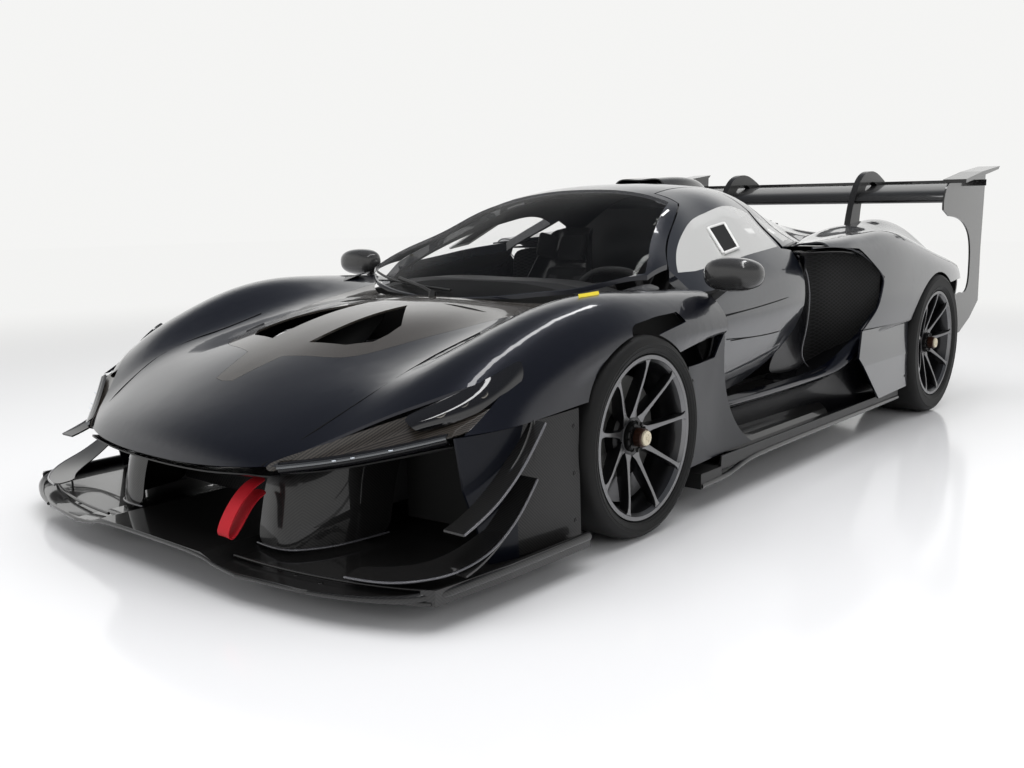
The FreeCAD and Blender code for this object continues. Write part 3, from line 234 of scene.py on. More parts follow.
# A darker copy of the lacquer with weaker gloss for the panels ahead of and behind the front wheel: painted
# shade
shaded_paint = fine_bump(principled("paint_painted_shade", (0.004, 0.005, 0.009), 0.30, metallic=0.2, coat=0.25,
                                   Coat_Roughness=0.02, Coat_IOR=1.3, Specular_IOR_Level=0.2), *ORANGE_PEEL)
gloss_carbon = carbon("carbon_gloss", (0.004, 0.004, 0.0045), (0.014, 0.0135, 0.013), 0.35)
warm_carbon = carbon("carbon_warm", (0.010, 0.009, 0.008), (0.045, 0.038, 0.032), 0.32)
plate_carbon = carbon("carbon_plate", (0.004, 0.004, 0.0045), (0.016, 0.0155, 0.015), 0.42, coat=0.35)
wing_carbon = carbon("carbon_wing", (0.004, 0.004, 0.0045), (0.010, 0.0098, 0.0095), 0.38, coat=0.5)
satin_black = fine_bump(principled("satin_black", (0.006, 0.006, 0.006), 0.45), 500, 0.05)
deep_black = fine_bump(principled("deep_black", (0.003, 0.003, 0.003), 0.7), 500, 0.05)
liner_black = fine_bump(principled("liner_gloss", (0.0035, 0.0035, 0.0045), 0.25, coat=0.35,
                                   Coat_Roughness=0.03, Coat_IOR=1.35, Specular_IOR_Level=0.3), 300, 0.02)
# Pale grey beads laid along dark edges: painted highlights
highlight_edge = fine_bump(principled("edge_painted_highlight", (0.10, 0.10, 0.11), 0.25, metallic=0.3, coat=1.0),
                        400, 0.02)
glass = window("screen_glass", (0.004, 0.004, 0.005), 0.07)
# Pale colour over most of the side windows: a painted reflection of the studio's sky
side_glass_painted_glare = window("side_glass_painted_glare", (0.55, 0.55, 0.54), 0.72, roughness=0.12, outside_only=True)
lamp_glass = principled("lamp_lens", (0.006, 0.006, 0.008), 0.06, coat=1.0, Coat_Roughness=0.01)
red_glass = principled("tail_lens", (0.35, 0.01, 0.01), 0.08, coat=1.0)
tyre_rubber = fine_bump(principled("tyre_rubber", (0.006, 0.006, 0.006), 0.6, Specular_IOR_Level=0.28),
                        260, 0.12)
rim_metal = fine_bump(principled("rim_gunmetal", (0.060, 0.060, 0.064), 0.32, metallic=0.9), 600, 0.03)
arm_metal = fine_bump(principled("arm_metal", (0.16, 0.16, 0.165), 0.4, metallic=1.0), 300, 0.05)
cast_metal = fine_bump(principled("engine_metal", (0.12, 0.12, 0.12), 0.6, metallic=0.8), 120, 0.2)
seat_cloth = fine_bump(principled("seat_cloth", (0.008, 0.008, 0.008), 0.9), 700, 0.3)
strap_red = fine_bump(principled("strap_red", (0.42, 0.004, 0.012), 0.7), 900, 0.4)

looks = {
    paint: ("front_clam", "roof", "engine_cover"),
    lit_side_paint: ("door_left", "door_right", "rear_clam", "rear_blades"),
    shaded_paint: ("front_blades", "corner_vanes"),
    plate_carbon: ("wheel_fairings", "floor"),
    gloss_carbon: ("roof_scoop", "mirror_left", "mirror_right", "rear_deck", "dive_planes", "splitter",
                   "sills", "end_plates"),
    wing_carbon: ("wing", "swan_necks"),
    warm_carbon: ("bonnet_outlet", "lamp_shelves"),
    satin_black: ("side_skirts", "tub", "side_ducts", "nose_duct", "dashboard", "steering_wheel",
                  "tail_frame"),
    deep_black: ("radiators",),
    glass: ("windscreen",),
    side_glass_painted_glare: ("quarter_windows", "door_glass_left", "door_glass_right"),
    lamp_glass: ("headlamps",),
    red_glass: ("tail_lamps",),
    cast_metal: ("engine",),
    arm_metal: ("front_suspension", "rear_suspension", "upright_left", "upright_right"),
    seat_cloth: ("seats",),
    strap_red: ("tow_loop",),
    rim_metal: ("rim_front_left", "rim_front_right", "rim_rear_left", "rim_rear_right"),
    tyre_rubber: ("tyre_front_left", "tyre_front_right", "tyre_rear_left", "tyre_rear_right"),
}
for material, names in looks.items():
    for name in names:
        dressed(nodes[name], material)


def chosen(piece):
    """Most operators work on the piece that is chosen."""
    bpy.ops.object.select_all(action="DESELECT")
    piece.select_set(True)
    bpy.context.view_layer.objects.active = piece


def applied(piece, name):
    chosen(piece)
    bpy.ops.object.modifier_apply(modifier=name)


def turned(name, corners, steps=112):
    """A ring at the first corner, carried from corner to corner about the Y axis. A corner is a
    radius and a place along the axis."""
    corners = [(radius / 1000, place / 1000) for radius, place in corners]
    bpy.ops.object.select_all(action="DESELECT")
    bpy.ops.mesh.primitive_circle_add(vertices=steps, radius=corners[0][0], fill_type="NOTHING",
                                      location=(0, corners[0][1], 0), rotation=(math.radians(90), 0, 0))
    piece = bpy.context.object
    piece.name = name
    bpy.ops.object.transform_apply(location=True, rotation=True, scale=True)
    bpy.ops.object.mode_set(mode="EDIT")
    bpy.ops.mesh.select_mode(type="EDGE")
    bpy.ops.mesh.select_all(action="SELECT")
    for (before, back), (after, ahead) in zip(corners, corners[1:]):
        bpy.ops.mesh.extrude_region()
        bpy.ops.transform.resize(value=(after / before, 1, after / before), center_override=(0, 0, 0))
        bpy.ops.transform.translate(value=(0, ahead - back, 0))
    bpy.ops.mesh.select_all(action="SELECT")
    bpy.ops.mesh.remove_doubles(threshold=0.00002)
    bpy.ops.mesh.normals_make_consistent(inside=False)
    bpy.ops.object.mode_set(mode="OBJECT")
    bpy.ops.object.shade_smooth_by_angle(angle=math.radians(32))
    return piece


def block(name, middle, size):
    """A plain box in the wheel's own place, with its hub at the origin."""
    bpy.ops.object.select_all(action="DESELECT")
    bpy.ops.mesh.primitive_cube_add(size=1, location=(0, 0, 0))
    piece = bpy.context.object
    piece.name = name
    piece.scale = [part / 1000 for part in size]
    piece.location = [part / 1000 for part in middle]
    bpy.ops.object.transform_apply(location=True, rotation=True, scale=True)
    return piece


def finish_piece(material, piece, body="car"):
    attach(dressed(piece, material), body)


def edged(piece, name, width, segments, angle):
    bevel = piece.modifiers.new(name, "BEVEL")
    bevel.width = width / 1000
    bevel.segments = segments
    bevel.limit_method = "ANGLE"
    bevel.angle_limit = math.radians(angle)


def rounded(piece, width, segments=2, angle=35):
    """Breaks the piece's sharp edges, as on a moulded or machined part."""
    edged(piece, "edges", width=width, segments=segments, angle=angle)
    applied(piece, "edges")
    bpy.ops.object.shade_smooth_by_angle(angle=math.radians(35))


def joined(pieces, name):
    bpy.ops.object.select_all(action="DESELECT")
    for piece in pieces:
        piece.select_set(True)
    bpy.context.view_layer.objects.active = pieces[0]
    bpy.ops.object.join()
    pieces[0].name = name
    return pieces[0]


def copied(piece, name):
    chosen(piece)
    bpy.ops.object.duplicate()
    copy = bpy.context.object
    copy.name = name
    return copy


def all_round(piece, count, name):
    """Copies the piece to even turns about the Y axis."""
    ring = [piece]
    for index in range(1, count):
        copy = copied(piece, name)
        copy.rotation_euler = (0, 2 * math.pi * index / count, 0)
        bpy.ops.object.transform_apply(rotation=True)
        ring.append(copy)
    return joined(ring, name)


def settled(piece, place=(0, 0, 0), flip=False):
    """Moves the piece to its place, or its mirror image, and puts that into the mesh."""
    chosen(piece)
    piece.location = place
    if flip:
        piece.scale = (1, -1, 1)
    bpy.ops.object.transform_apply(location=True, rotation=True, scale=True)
    if flip:
        bpy.ops.object.mode_set(mode="EDIT")
        bpy.ops.mesh.select_all(action="SELECT")
        bpy.ops.mesh.flip_normals()
        bpy.ops.object.mode_set(mode="OBJECT")
    return piece


# Wheels: forged one-piece rims of satin gunmetal, machined bright on the lip and the spoke faces,
# with nine deep concave spokes. The barrel is turned; spokes are forged with it and merge at the hub.
lip_metal = fine_bump(principled("lip_machined", (0.20, 0.20, 0.205), 0.30, metallic=0.95), 700, 0.03)
spoke_dark = fine_bump(principled("spoke_gunmetal", (0.020, 0.020, 0.022), 0.30, metallic=0.8, coat=0.5),
                       600, 0.03)
nut_black = fine_bump(principled("nut_anodised", (0.010, 0.010, 0.010), 0.32, metallic=0.6), 500, 0.04)
nut_ring = principled("nut_ring", (0.035, 0.012, 0.006), 0.35, metallic=0.5, coat=0.3)
nut_cap = fine_bump(principled("nut_cap", (0.62, 0.56, 0.42), 0.35, metallic=0.35), 500, 0.03)
disc_grey = fine_bump(principled("disc_ceramic", (0.050, 0.050, 0.048), 0.42, metallic=0.3), 900, 0.25)

# One spoke grows from the hub to the lip: each station is a radius, the face's depth behind the
# lip, the width and the thickness there
stations = ((40, 56, 60, 40), (60, 50, 40, 42), (80, 45, 22, 44), (110, 36, 16.5, 44), (150, 24, 13.5, 42),
            (190, 12, 12, 38), (222, 4.5, 12.5, 34), (238, 2, 18, 32), (246.5, 1.2, 32, 30))
radius, back, wide, deep = stations[0]
spoke = block("spoke", (0, back + deep / 2, radius), (wide, deep, 2))
bpy.ops.object.mode_set(mode="EDIT")
bpy.ops.mesh.select_mode(type="FACE")
bpy.ops.mesh.select_all(action="DESELECT")
bpy.ops.object.mode_set(mode="OBJECT")
for face in spoke.data.polygons:
    face.select = face.normal.z > 0.9
bpy.ops.object.mode_set(mode="EDIT")
for (r0, b0, w0, d0), (r1, b1, w1, d1) in zip(stations, stations[1:]):
    middle = b1 + d1 / 2
    bpy.ops.mesh.extrude_region()
    bpy.ops.transform.translate(value=(0, (middle - b0 - d0 / 2) / 1000, (r1 - r0) / 1000))
    bpy.ops.transform.resize(value=(w1 / w0, d1 / d0, 1), center_override=(0, middle / 1000, r1 / 1000))
bpy.ops.object.mode_set(mode="OBJECT")
rounded(spoke, 1.6, angle=40)
dressed(spoke, spoke_dark, lip_metal)
for face in spoke.data.polygons:
    face.material_index = 1 if face.normal.y < -0.75 and face.center.z > 0.055 else 0
star = all_round(spoke, 9, "spokes")
star.rotation_euler = (0, math.radians(2), 0)
bpy.ops.object.transform_apply(rotation=True)

slot_block = block("lug", (0, 33.5, 44.5), (7, 10, 10))
rounded(slot_block, 0.8, segments=1)
wheel_core = (
    (star, None),
    (turned("hub", [(4, 100), (52, 100), (60, 85), (62, 62), (60, 52), (56, 49), (52, 49), (50, 58),
                    (4, 58)]), spoke_dark),
    (turned("nut_body", [(4, 60), (49, 60), (49, 36), (46, 32), (40, 32), (38, 36), (31, 36), (31, 30),
                         (4, 30)]), nut_black),
    (all_round(slot_block, 12, "nut_lugs"), nut_black),
    (turned("nut_collar", [(4, 34), (30, 34), (30, 6), (28, 3), (4, 3)]), nut_ring),
    (turned("nut_cap", [(2, 8), (24.5, 8), (24.5, -2), (22.5, -5), (13, -5.5), (11, -3), (6, -3), (4, -5.5),
                        (0.5, -5.5)]), nut_cap),
    (turned("disc", [(88, 98), (186, 98), (190.5, 101), (190.5, 108), (184, 110), (184, 118), (190.5, 120),
                     (190.5, 127), (186, 130), (88, 130), (88, 98)]), disc_grey),
    (turned("bell", [(40, 62), (74, 62), (84, 70), (86, 98), (86, 116), (30, 116), (30, 218), (4, 218)]),
     nut_black),
)


def barrel_corners(width):
    """The rim's section: lip, outer bead seat, drop centre and inner flange."""
    deep = width - 24
    return [(249.5, 0), (262, 0), (262, 7.5), (242.5, 14.5), (242.5, 40), (233, 55), (233, 110),
            (242.5, 125), (242.5, deep - 13), (250.5, deep), (243, deep), (233.8, deep - 18), (225, 112),
            (225, 52), (235, 30), (240, 12), (247.5, 4), (249.5, 0)]


def tyre_corners(width, top):
    """Slick tyre: bead, rim protector, ringed sidewall, rounded shoulder and flat tread."""
    side = [(243.2, 19), (263.2, 10.5), (266, 3), (269, -2), (272.5, -2.8), (274, -5), (279, -7.8),
            (285, -9.4), (286.5, -10.8), (287.5, -9.6), (top - 30, -10), (top - 28.5, -11.2),
            (top - 27, -9.8), (top - 20, -8), (top - 13, -3), (top - 7.5, 5), (top - 3.5, 16),
            (top - 1, 30), (top - 0.2, 50)]
    middle = width / 2 - 11
    return side + [(radius, 2 * middle - place) for radius, place in reversed(side)] + [side[0]]


# Front and rear wheels: place along the car, the lip's distance from the middle, width and radius
for end, x, lip, width, top in (("front", 0, 977, 286, 325), ("rear", WHEELBASE, 1003, 326, 352.5)):
    for side, face in (("left", -lip), ("right", lip)):
        body = f"wheel_{end}_{side}"
        hub = at(x, face, top)
        barrel = dressed(turned("barrel", barrel_corners(width)), spoke_dark, lip_metal)
        for polygon in barrel.data.polygons:
            spot = polygon.center
            polygon.material_index = 1 if spot.y < 0.009 and math.hypot(spot.x, spot.z) > 0.238 else 0
        wheel_set = [barrel]
        for piece, material in wheel_core:
            copy = copied(piece, "wheel_core")
            wheel_set.append(dressed(copy, material) if material else copy)
        rim = settled(joined(wheel_set, f"rim_detail_{end}_{side}"), hub, flip=face > 0)
        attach(rim, body)
        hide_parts(f"rim_{end}_{side}")
        tyre = turned(f"tyre_detail_{end}_{side}", tyre_corners(width, top), 144)
        finish_piece(tyre_rubber, settled(tyre, hub, flip=face > 0), body)
        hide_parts(f"tyre_{end}_{side}")
for piece, material in wheel_core:
    bpy.data.objects.remove(piece)


def smoothed(piece, level):
    smooth = piece.modifiers.new("smooth", "SUBSURF")
    smooth.levels = smooth.render_levels = level
    smooth.boundary_smooth = "ALL"
    applied(piece, "smooth")


def skin_sheet(name, rows, thickness=4, level=2, offset=-1.0):
    """A sheet drawn through rows of points and smoothed as often as the level says. Its thickness
    lies behind the points, or on both sides of them with an offset of 0."""
    across = len(rows[0])
    bpy.ops.object.select_all(action="DESELECT")
    bpy.ops.mesh.primitive_grid_add(x_subdivisions=across - 1, y_subdivisions=len(rows) - 1, size=1)
    sheet = bpy.context.object
    sheet.name = name
    for vertex in sheet.data.vertices:
        vertex.co = at(*rows[vertex.index // across][vertex.index % across])
    if level:
        smoothed(sheet, level)
    wall = sheet.modifiers.new("wall", "SOLIDIFY")
    wall.thickness = thickness / 1000
    wall.offset = offset
    applied(sheet, "wall")
    bpy.ops.object.mode_set(mode="EDIT")
    bpy.ops.mesh.select_all(action="SELECT")
    bpy.ops.mesh.normals_make_consistent(inside=False)
    bpy.ops.object.mode_set(mode="OBJECT")
    bpy.ops.object.shade_smooth_by_angle(angle=math.radians(40))
    return sheet


def strand(name, points, radius, sides=3, swell=()):
    """A round bar or bead that follows a line of points. Swell gives the first points their share of
    the radius, for a bar that grows out of an edge."""
    line = bpy.data.curves.new(name, "CURVE")
    line.dimensions = "3D"
    path = line.splines.new("NURBS")
    path.points.add(len(points) - 1)
    for spot, point in zip(path.points, points):
        spot.co = (*at(*point), 1)
    for spot, share in zip(path.points, swell):
        spot.radius = share
    path.use_endpoint_u = True
    path.order_u = 3
    path.resolution_u = 6
    line.bevel_depth = radius / 1000
    line.bevel_resolution = sides
    line.use_fill_caps = True
    bar = bpy.data.objects.new(name, line)
    bpy.context.collection.objects.link(bar)
    chosen(bar)
    bpy.ops.object.convert(target="MESH")
    bpy.ops.object.shade_smooth_by_angle(angle=math.radians(50))
    return bpy.context.object


def shifted(line, x, y, z):
    return [(ahead + x, across + y, up + z) for ahead, across, up in line]


def both_sides(material, piece, body="car", hides=None):
    """Dresses the left-hand piece, sets it on its body, and makes its mirror image for the right."""
    name = piece.name
    piece.name = name + "_left"
    other = settled(copied(dressed(piece, material), name + "_right"), flip=True)
    for side, one in (("left", piece), ("right", other)):
        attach(one, body.format(side=side))
        if hides:
            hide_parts(hides.format(side=side))
    return piece, other


# Open mesh: a dark diamond lattice with nearly black holes, drawn by the material. The pitch is in
# metres, and the lean is how far the wires stray from level.
MESH_PITCH, MESH_LEAN = 0.017, 1.15
mesh_black = principled("intake_mesh", (0.002, 0.002, 0.002), 0.6)
tree = mesh_black.node_tree
place = node(tree, "SeparateXYZ", {0: node(tree, "TexCoord").outputs["Object"]}).outputs
waves = []
for lean in (MESH_LEAN, -MESH_LEAN):
    crossing = result(tree, "MULTIPLY_ADD", place["Y"], lean, place["Z"])
    phase = result(tree, "MULTIPLY", crossing, math.pi / MESH_PITCH)
    waves.append(result(tree, "ABSOLUTE", result(tree, "SINE", phase)))
wires = node(tree, "MapRange", {
    "Value": result(tree, "MINIMUM", *waves), "From Min": 0.42, "From Max": 0.28}).outputs["Result"]
bumped(two_tone(mesh_black, wires, (0.0012, 0.0012, 0.0012), (0.020, 0.020, 0.021)), wires, 0.6, 0.003)

# Side intakes: a dark moulded liner that turns in from the door's rear edge, then a wall of open
# mesh ahead of the radiator, under a roof and over a floor of the same dark moulding
both_sides(liner_black, skin_sheet("intake_liner", [
    [(1456, -840, 834), (1458, -818, 835), (1462, -796, 836)],
    [(1425, -846, 720), (1520, -828, 719), (1580, -798, 718)],
    [(1405, -842, 640), (1520, -828, 639), (1602, -798, 637)],
    [(1360, -815, 540), (1470, -812, 530), (1578, -798, 516)],
    [(1300, -782, 440), (1420, -792, 435), (1534, -796, 428)],
    [(1250, -764, 345), (1420, -784, 342), (1575, -796, 345)]]))
# A pale bead along the liner's rear edge: painted highlight
both_sides(highlight_edge, strand("intake_liner_edge", [(1462, -800, 836), (1545, -801, 780),
    (1580, -802, 718), (1602, -802, 637), (1578, -802, 516), (1534, -800, 428), (1550, -800, 375),
    (1600, -804, 345)], 3))
both_sides(mesh_black, skin_sheet("intake_mesh", [
    [(1500, -790, z), (1640, -740, z), (1760, -728, z), (1870, -760, z), (1945, -850, z), (1990, -962, z)]
    for z in (330, 430, 540, 650, 750, 840)]))
both_sides(liner_black, skin_sheet("sill_recess", [
    [(700, -800, z), (1000, -808, z), (1400, -812, z), (1700, -815, z), (1850, -850, z), (1960, -905, z),
     (2290, -935, z)]
    for z in (110, 200, 300)] + [
    [(700, -840, 312), (1000, -850, 312), (1400, -852, 314), (1700, -872, 340), (1850, -930, 430),
     (1960, -955, 470), (2290, -960, 480)]]))
both_sides(liner_black, skin_sheet("sill_shelf", [
    [(700, -790, 106), (700, -962, 166)],
    [(1200, -790, 106), (1200, -962, 168)],
    [(1700, -800, 106), (1700, -962, 168)],
    [(2000, -880, 106), (2000, -962, 168)],
    [(2280, -900, 106), (2280, -962, 168)]], level=0))
both_sides(liner_black, skin_sheet("intake_roof", [
    [(1440, -770, 846), (1440, -872, 852)], [(1600, -716, 848), (1600, -898, 852)],
    [(1760, -690, 848), (1760, -922, 846)], [(1900, -720, 842), (1880, -948, 806)]], level=1))
both_sides(liner_black, skin_sheet("intake_floor", [
    [(1300, -700, 322), (1300, -862, 322)], [(1500, -700, 326), (1500, -866, 324)],
    [(1660, -700, 330), (1660, -872, 326)], [(1780, -710, 345), (1770, -925, 380)],
    [(1900, -740, 380), (1860, -955, 440)], [(1985, -800, 420), (1950, -965, 486)]], thickness=5, level=1))
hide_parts("radiators")
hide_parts("side_ducts")

# Sill rail: a painted, rounded strip under the door that sweeps up behind the intake and runs on
# along the haunch's lower edge to the rear wheel
rail_rows = [(700, -852, 306, 13), (1000, -862, 304, 13), (1350, -866, 306, 13), (1600, -868, 312, 13),
             (1680, -890, 330, 20), (1740, -925, 372, 28), (1800, -948, 422, 28), (1870, -962, 462, 22),
             (1960, -970, 484, 14), (2120, -976, 492, 10), (2330, -982, 500, 10)]
both_sides(paint, skin_sheet("sill_rail", [[(x + h * 0.3, y + 30, z - h - 4), (x, y, z - h), (x, y - 10, z),
    (x, y, z + h), (x - h * 0.3, y + 30, z + h + 4)] for x, y, z, h in rail_rows]))
both_sides(paint, strand("intake_lip", [(1440, -872, 868), (1530, -884, 872), (1660, -908, 868),
    (1760, -932, 852), (1880, -962, 796), (1985, -984, 724), (1962, -985, 660), (1930, -982, 590),
    (1860, -976, 540), (1790, -968, 496)], 4.5))
both_sides(gloss_carbon, strand("skirt_bead", [(2285, -962, 127), (1600, -962, 125), (900, -962, 124),
    (720, -962, 118), (630, -962, 100), (560, -962, 88), (380, -962, 86)], 10.5, 5))

# Door mirrors: a carbon cap with a flat back for the glass, on an arm from the door's front corner
DOOR = "door_{side}_body"
bpy.ops.object.select_all(action="DESELECT")
bpy.ops.mesh.primitive_uv_sphere_add(segments=48, ring_count=24, radius=1)
mirror_cap = bpy.context.object
mirror_cap.name = "mirror_cap"
for vertex in mirror_cap.data.vertices:
    x, y, z = vertex.co
    x = math.copysign(abs(x) ** 0.8, x) * 62
    y = math.copysign(abs(y) ** 0.72, y) * 110
    z = math.copysign(abs(z) ** 0.78, z) * 60
    z *= 1 - 0.0009 * max(0.0, -y)
    vertex.co = at(588 + min(x, 30 + 0.1 * z), y - 960, z + 806)
rounded(mirror_cap, 2, angle=50)
mirror_skin = carbon("carbon_grey", (0.018, 0.018, 0.0185), (0.034, 0.0335, 0.033), 0.24, 0.0015)
both_sides(mirror_skin, mirror_cap, DOOR)
both_sides(satin_black, skin_sheet("mirror_arm", [
    [(650, -836, 704), (612, -838, 722), (586, -838, 738)],
    [(640, -862, 712), (608, -866, 724), (582, -868, 736)],
    [(628, -896, 738), (602, -900, 744), (580, -902, 750)],
    [(622, -930, 760), (598, -934, 762), (578, -936, 764)]],
    thickness=12, offset=0.0), DOOR, "mirror_{side}")
mirror_glass_look = principled("mirror_glass", (0.75, 0.77, 0.80), 0.02, metallic=1.0)
both_sides(mirror_glass_look, skin_sheet("mirror_glass", [[(619.5 + 0.1 * z, -960 + 88 * y, 806 + z)
    for y in (-1, 0, 1)] for z in (-34, 0, 34)], thickness=1, offset=0.0), DOOR)

# Headlamps: a carbon shelf under each slot, a light bar with three segments along its front whose pale
# colour is painted light, and a dark glass unit at its outer end with turned rings
both_sides(warm_carbon, skin_sheet("lamp_shelf", [
    [(-1066, -448, 372), (-958, -545, 412), (-845, -652, 462), (-740, -755, 505), (-650, -822, 545),
     (-570, -862, 580)],
    [(-1055, -452, 352), (-952, -560, 384), (-842, -672, 430), (-745, -775, 466), (-665, -840, 500),
     (-590, -874, 540)],
    [(-1050, -462, 348), (-955, -590, 372), (-865, -705, 404), (-785, -810, 434), (-730, -872, 458),
     (-660, -890, 490)],
    [(-1052, -470, 356), (-975, -582, 374), (-885, -705, 400), (-810, -806, 430), (-765, -868, 446),
     (-700, -895, 462)]], thickness=3))
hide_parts("lamp_shelves")
bar_lens = principled("bar_lens", (0.11, 0.115, 0.12), 0.10, metallic=0.85, coat=1.0, Coat_Roughness=0.02)
bar_line = [(-1044, -488, 362), (-996, -556, 371), (-935, -640, 386), (-880, -716, 404), (-826, -790, 424),
            (-778, -856, 444)]
both_sides(liner_black, skin_sheet("light_bar_housing", [
    shifted(bar_line, x, 0, z) for x, z in ((12, 12), (-4, 10), (-7, -4), (2, -16), (24, -18))],
    thickness=3))
both_sides(bar_lens, strand("light_bar", shifted(bar_line, -7.5, 0, 2), 6.5, 4))
# Pale colour with no emission: painted light on the segments
segment_painted_light = principled("bar_segment", (0.60, 0.64, 0.70), 0.2, coat=1.0)
dashes = []
for share in (0.34, 0.44, 0.66):
    spot = share * (len(bar_line) - 1)
    low = int(spot)
    x, y, z = (a + (b - a) * (spot - low) for a, b in zip(bar_line[low], bar_line[low + 1]))
    dashes.append(strand("segment", [
        (x - 14, y + 12, z + 1), (x - 14.5, y, z + 3), (x - 14, y - 12, z + 6)], 1.8))
both_sides(segment_painted_light, joined(dashes, "light_bar_segments"))
lens_look = principled("lamp_lens_dark", (0.004, 0.004, 0.005), 0.05, coat=0.6)
lens_rows = [
    [(-800, -712, 486), (-735, -768, 520), (-655, -824, 556), (-575, -866, 594), (-505, -880, 628)],
    [(-812, -738, 474), (-745, -796, 506), (-665, -852, 538), (-585, -884, 574), (-510, -892, 606)],
    [(-808, -758, 462), (-752, -816, 488), (-680, -868, 516), (-600, -896, 548), (-518, -900, 584)],
    [(-786, -766, 452), (-745, -816, 470), (-685, -866, 494), (-610, -894, 524), (-530, -900, 560)]]
both_sides(lens_look, skin_sheet("lamp_lens", lens_rows), hides="headlamps")
reflector_chrome = principled("lamp_reflector", (0.16, 0.15, 0.13), 0.2, metallic=1.0, coat=1.0)
LENS_FACING = Vector((-0.557, -0.212, 0.802)).to_track_quat("Y", "Z").to_euler()
rings = []
for x, y, z, radius in ((-742, -792, 503.5, 19), (-692, -828, 524.5, 17), (-644, -857, 544.5, 14)):
    ring = turned("lamp_ring", [(radius, 0), (radius + 1.5, -3), (radius + 4, -3), (radius + 5.5, 0),
        (radius + 4, 3), (radius, 3)], 40)
    ring.rotation_euler = LENS_FACING
    rings.append(settled(ring, at(x, y, z)))
both_sides(reflector_chrome, joined(rings, "lamp_rings"))

# Nose: glossy carbon ducts inside the wide intake, each with a pale bead along its lower edge that is a
# painted highlight, and thin stays between the splitter and the dive planes
duct_foot = [(-985, -300, 100), (-1000, -415, 100), (-915, -482, 99), (-815, -512, 98), (-680, -520, 97)]
both_sides(gloss_carbon, skin_sheet("nose_duct_cheek", [shifted(duct_foot, *step) for step in (
    (0, 0, 0), (6, -4, 55), (20, -4, 120), (40, 0, 190), (80, 0, 250))]))
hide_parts("nose_duct")
finish_piece(liner_black, skin_sheet("nose_lid", [
    [(-1085, -440, 345), (-1105, -260, 322), (-1112, 0, 318), (-1105, 260, 322), (-1085, 440, 345)],
    [(-1040, -440, 318), (-1050, -260, 300), (-1055, 0, 296), (-1050, 260, 300), (-1040, 440, 318)],
    [(-820, -440, 330), (-820, -260, 318), (-820, 0, 316), (-820, 260, 318), (-820, 440, 330)],
    [(-660, -440, 340), (-660, -260, 340), (-660, 0, 340), (-660, 260, 340), (-660, 440, 340)]]))
finish_piece(mesh_black, skin_sheet("nose_grille", [[(-690, y, z) for y in (-500, -250, 0, 250, 500)]
    for z in (112, 220, 336)], level=0))
both_sides(deep_black, skin_sheet("shelf_underside", [
    [(-1038, -478, 344), (-985, -570, 352), (-925, -652, 368), (-870, -730, 388), (-815, -802, 406),
     (-770, -866, 424)],
    [(-960, -450, 336), (-900, -560, 344), (-840, -640, 356), (-780, -710, 370), (-720, -790, 390),
     (-690, -870, 410)],
    [(-620, -450, 400), (-600, -560, 410), (-580, -640, 420), (-560, -710, 430), (-540, -790, 440),
     (-530, -880, 450)]], thickness=3))
both_sides(deep_black, skin_sheet("arch_front_wall", [
    [(-560, -480, z), (-545, -640, z), (-530, -800, z), (-520, -940, z)] for z in (115, 260, 430)],
    level=0))
# A pale bead along each duct's lower edge: painted highlight
both_sides(highlight_edge, strand("nose_duct_edge", shifted(duct_foot, -2, 0, 4), 3.5))
both_sides(gloss_carbon, strand("splitter_roll", [(-1112, -670, 77.5), (-1088, -755, 78), (-1050, -845, 80),
    (-1008, -925, 86), (-955, -978, 95), (-860, -990, 98), (-700, -998, 99), (-352, -1004, 101)], 13.5, 6,
    (0.46, 0.52, 0.66, 0.86, 1.0)))
finish_piece(gloss_carbon, strand("splitter_front_edge", [(-1150, y, z) for y, z in (
    (-420, 78), (-330, 84), (-262, 103), (0, 104), (262, 103), (330, 84), (420, 78))], 6.2))
both_sides(gloss_carbon, strand("splitter_side_edge", [(-1150, -420, 78), (-1119, -650, 77),
    (-1060, -820, 77), (-975, -975, 77)], 6.2))
both_sides(gloss_carbon, strand("splitter_ridge", [(-1088, -330, 99), (-1078, -460, 95), (-1048, -660, 95),
    (-998, -835, 95), (-950, -930, 94)], 4.8))
both_sides(gloss_carbon, skin_sheet("dive_tip", [
    [(-700, -930, 206), (-700, -965, 206), (-700, -1000, 208)],
    [(-790, -905, 156), (-795, -950, 155), (-800, -998, 156)],
    [(-870, -870, 132), (-890, -925, 129), (-905, -975, 130)],
    [(-930, -820, 126), (-965, -865, 120), (-985, -905, 119)],
    [(-965, -770, 124), (-1005, -795, 118), (-1035, -820, 116)],
    [(-985, -730, 124), (-1020, -735, 119), (-1050, -742, 117)]], offset=0.0))
dive_lines = {
    "lower": [(-1052, -742, 117), (-1037, -822, 116), (-987, -907, 119), (-907, -977, 130),
              (-800, -1003, 156), (-710, -1006, 202), (-640, -1006, 259), (-590, -1006, 319)],
    "upper": [(-880, -1000, 233), (-800, -1000, 259), (-715, -1000, 303), (-620, -1000, 377),
              (-545, -1000, 465)]}
# Pale beads along the dive planes' edges: painted highlights
for name, line in dive_lines.items():
    both_sides(highlight_edge, strand(f"dive_{name}_edge", line, 3.4))
both_sides(satin_black, strand("splitter_stay", [
    (-985, -748, 78), (-985, -748, 95), (-985, -750, 116)], 3.5))

# Tow strap: a flat loop of red webbing, 50 mm wide and 3 mm thick
strap_path = [(-985, 302), (-1020, 294), (-1060, 268), (-1096, 228), (-1120, 188), (-1126, 166),
              (-1113, 154), (-1094, 163), (-1068, 196), (-1038, 234), (-1008, 256), (-985, 262)]
strap = skin_sheet("tow_strap", [
    [(x, -356, z - 3), (x, -331, z), (x, -306, z - 1)] for x, z in strap_path], thickness=3)
finish_piece(strap_red, strap)
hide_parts("tow_loop")

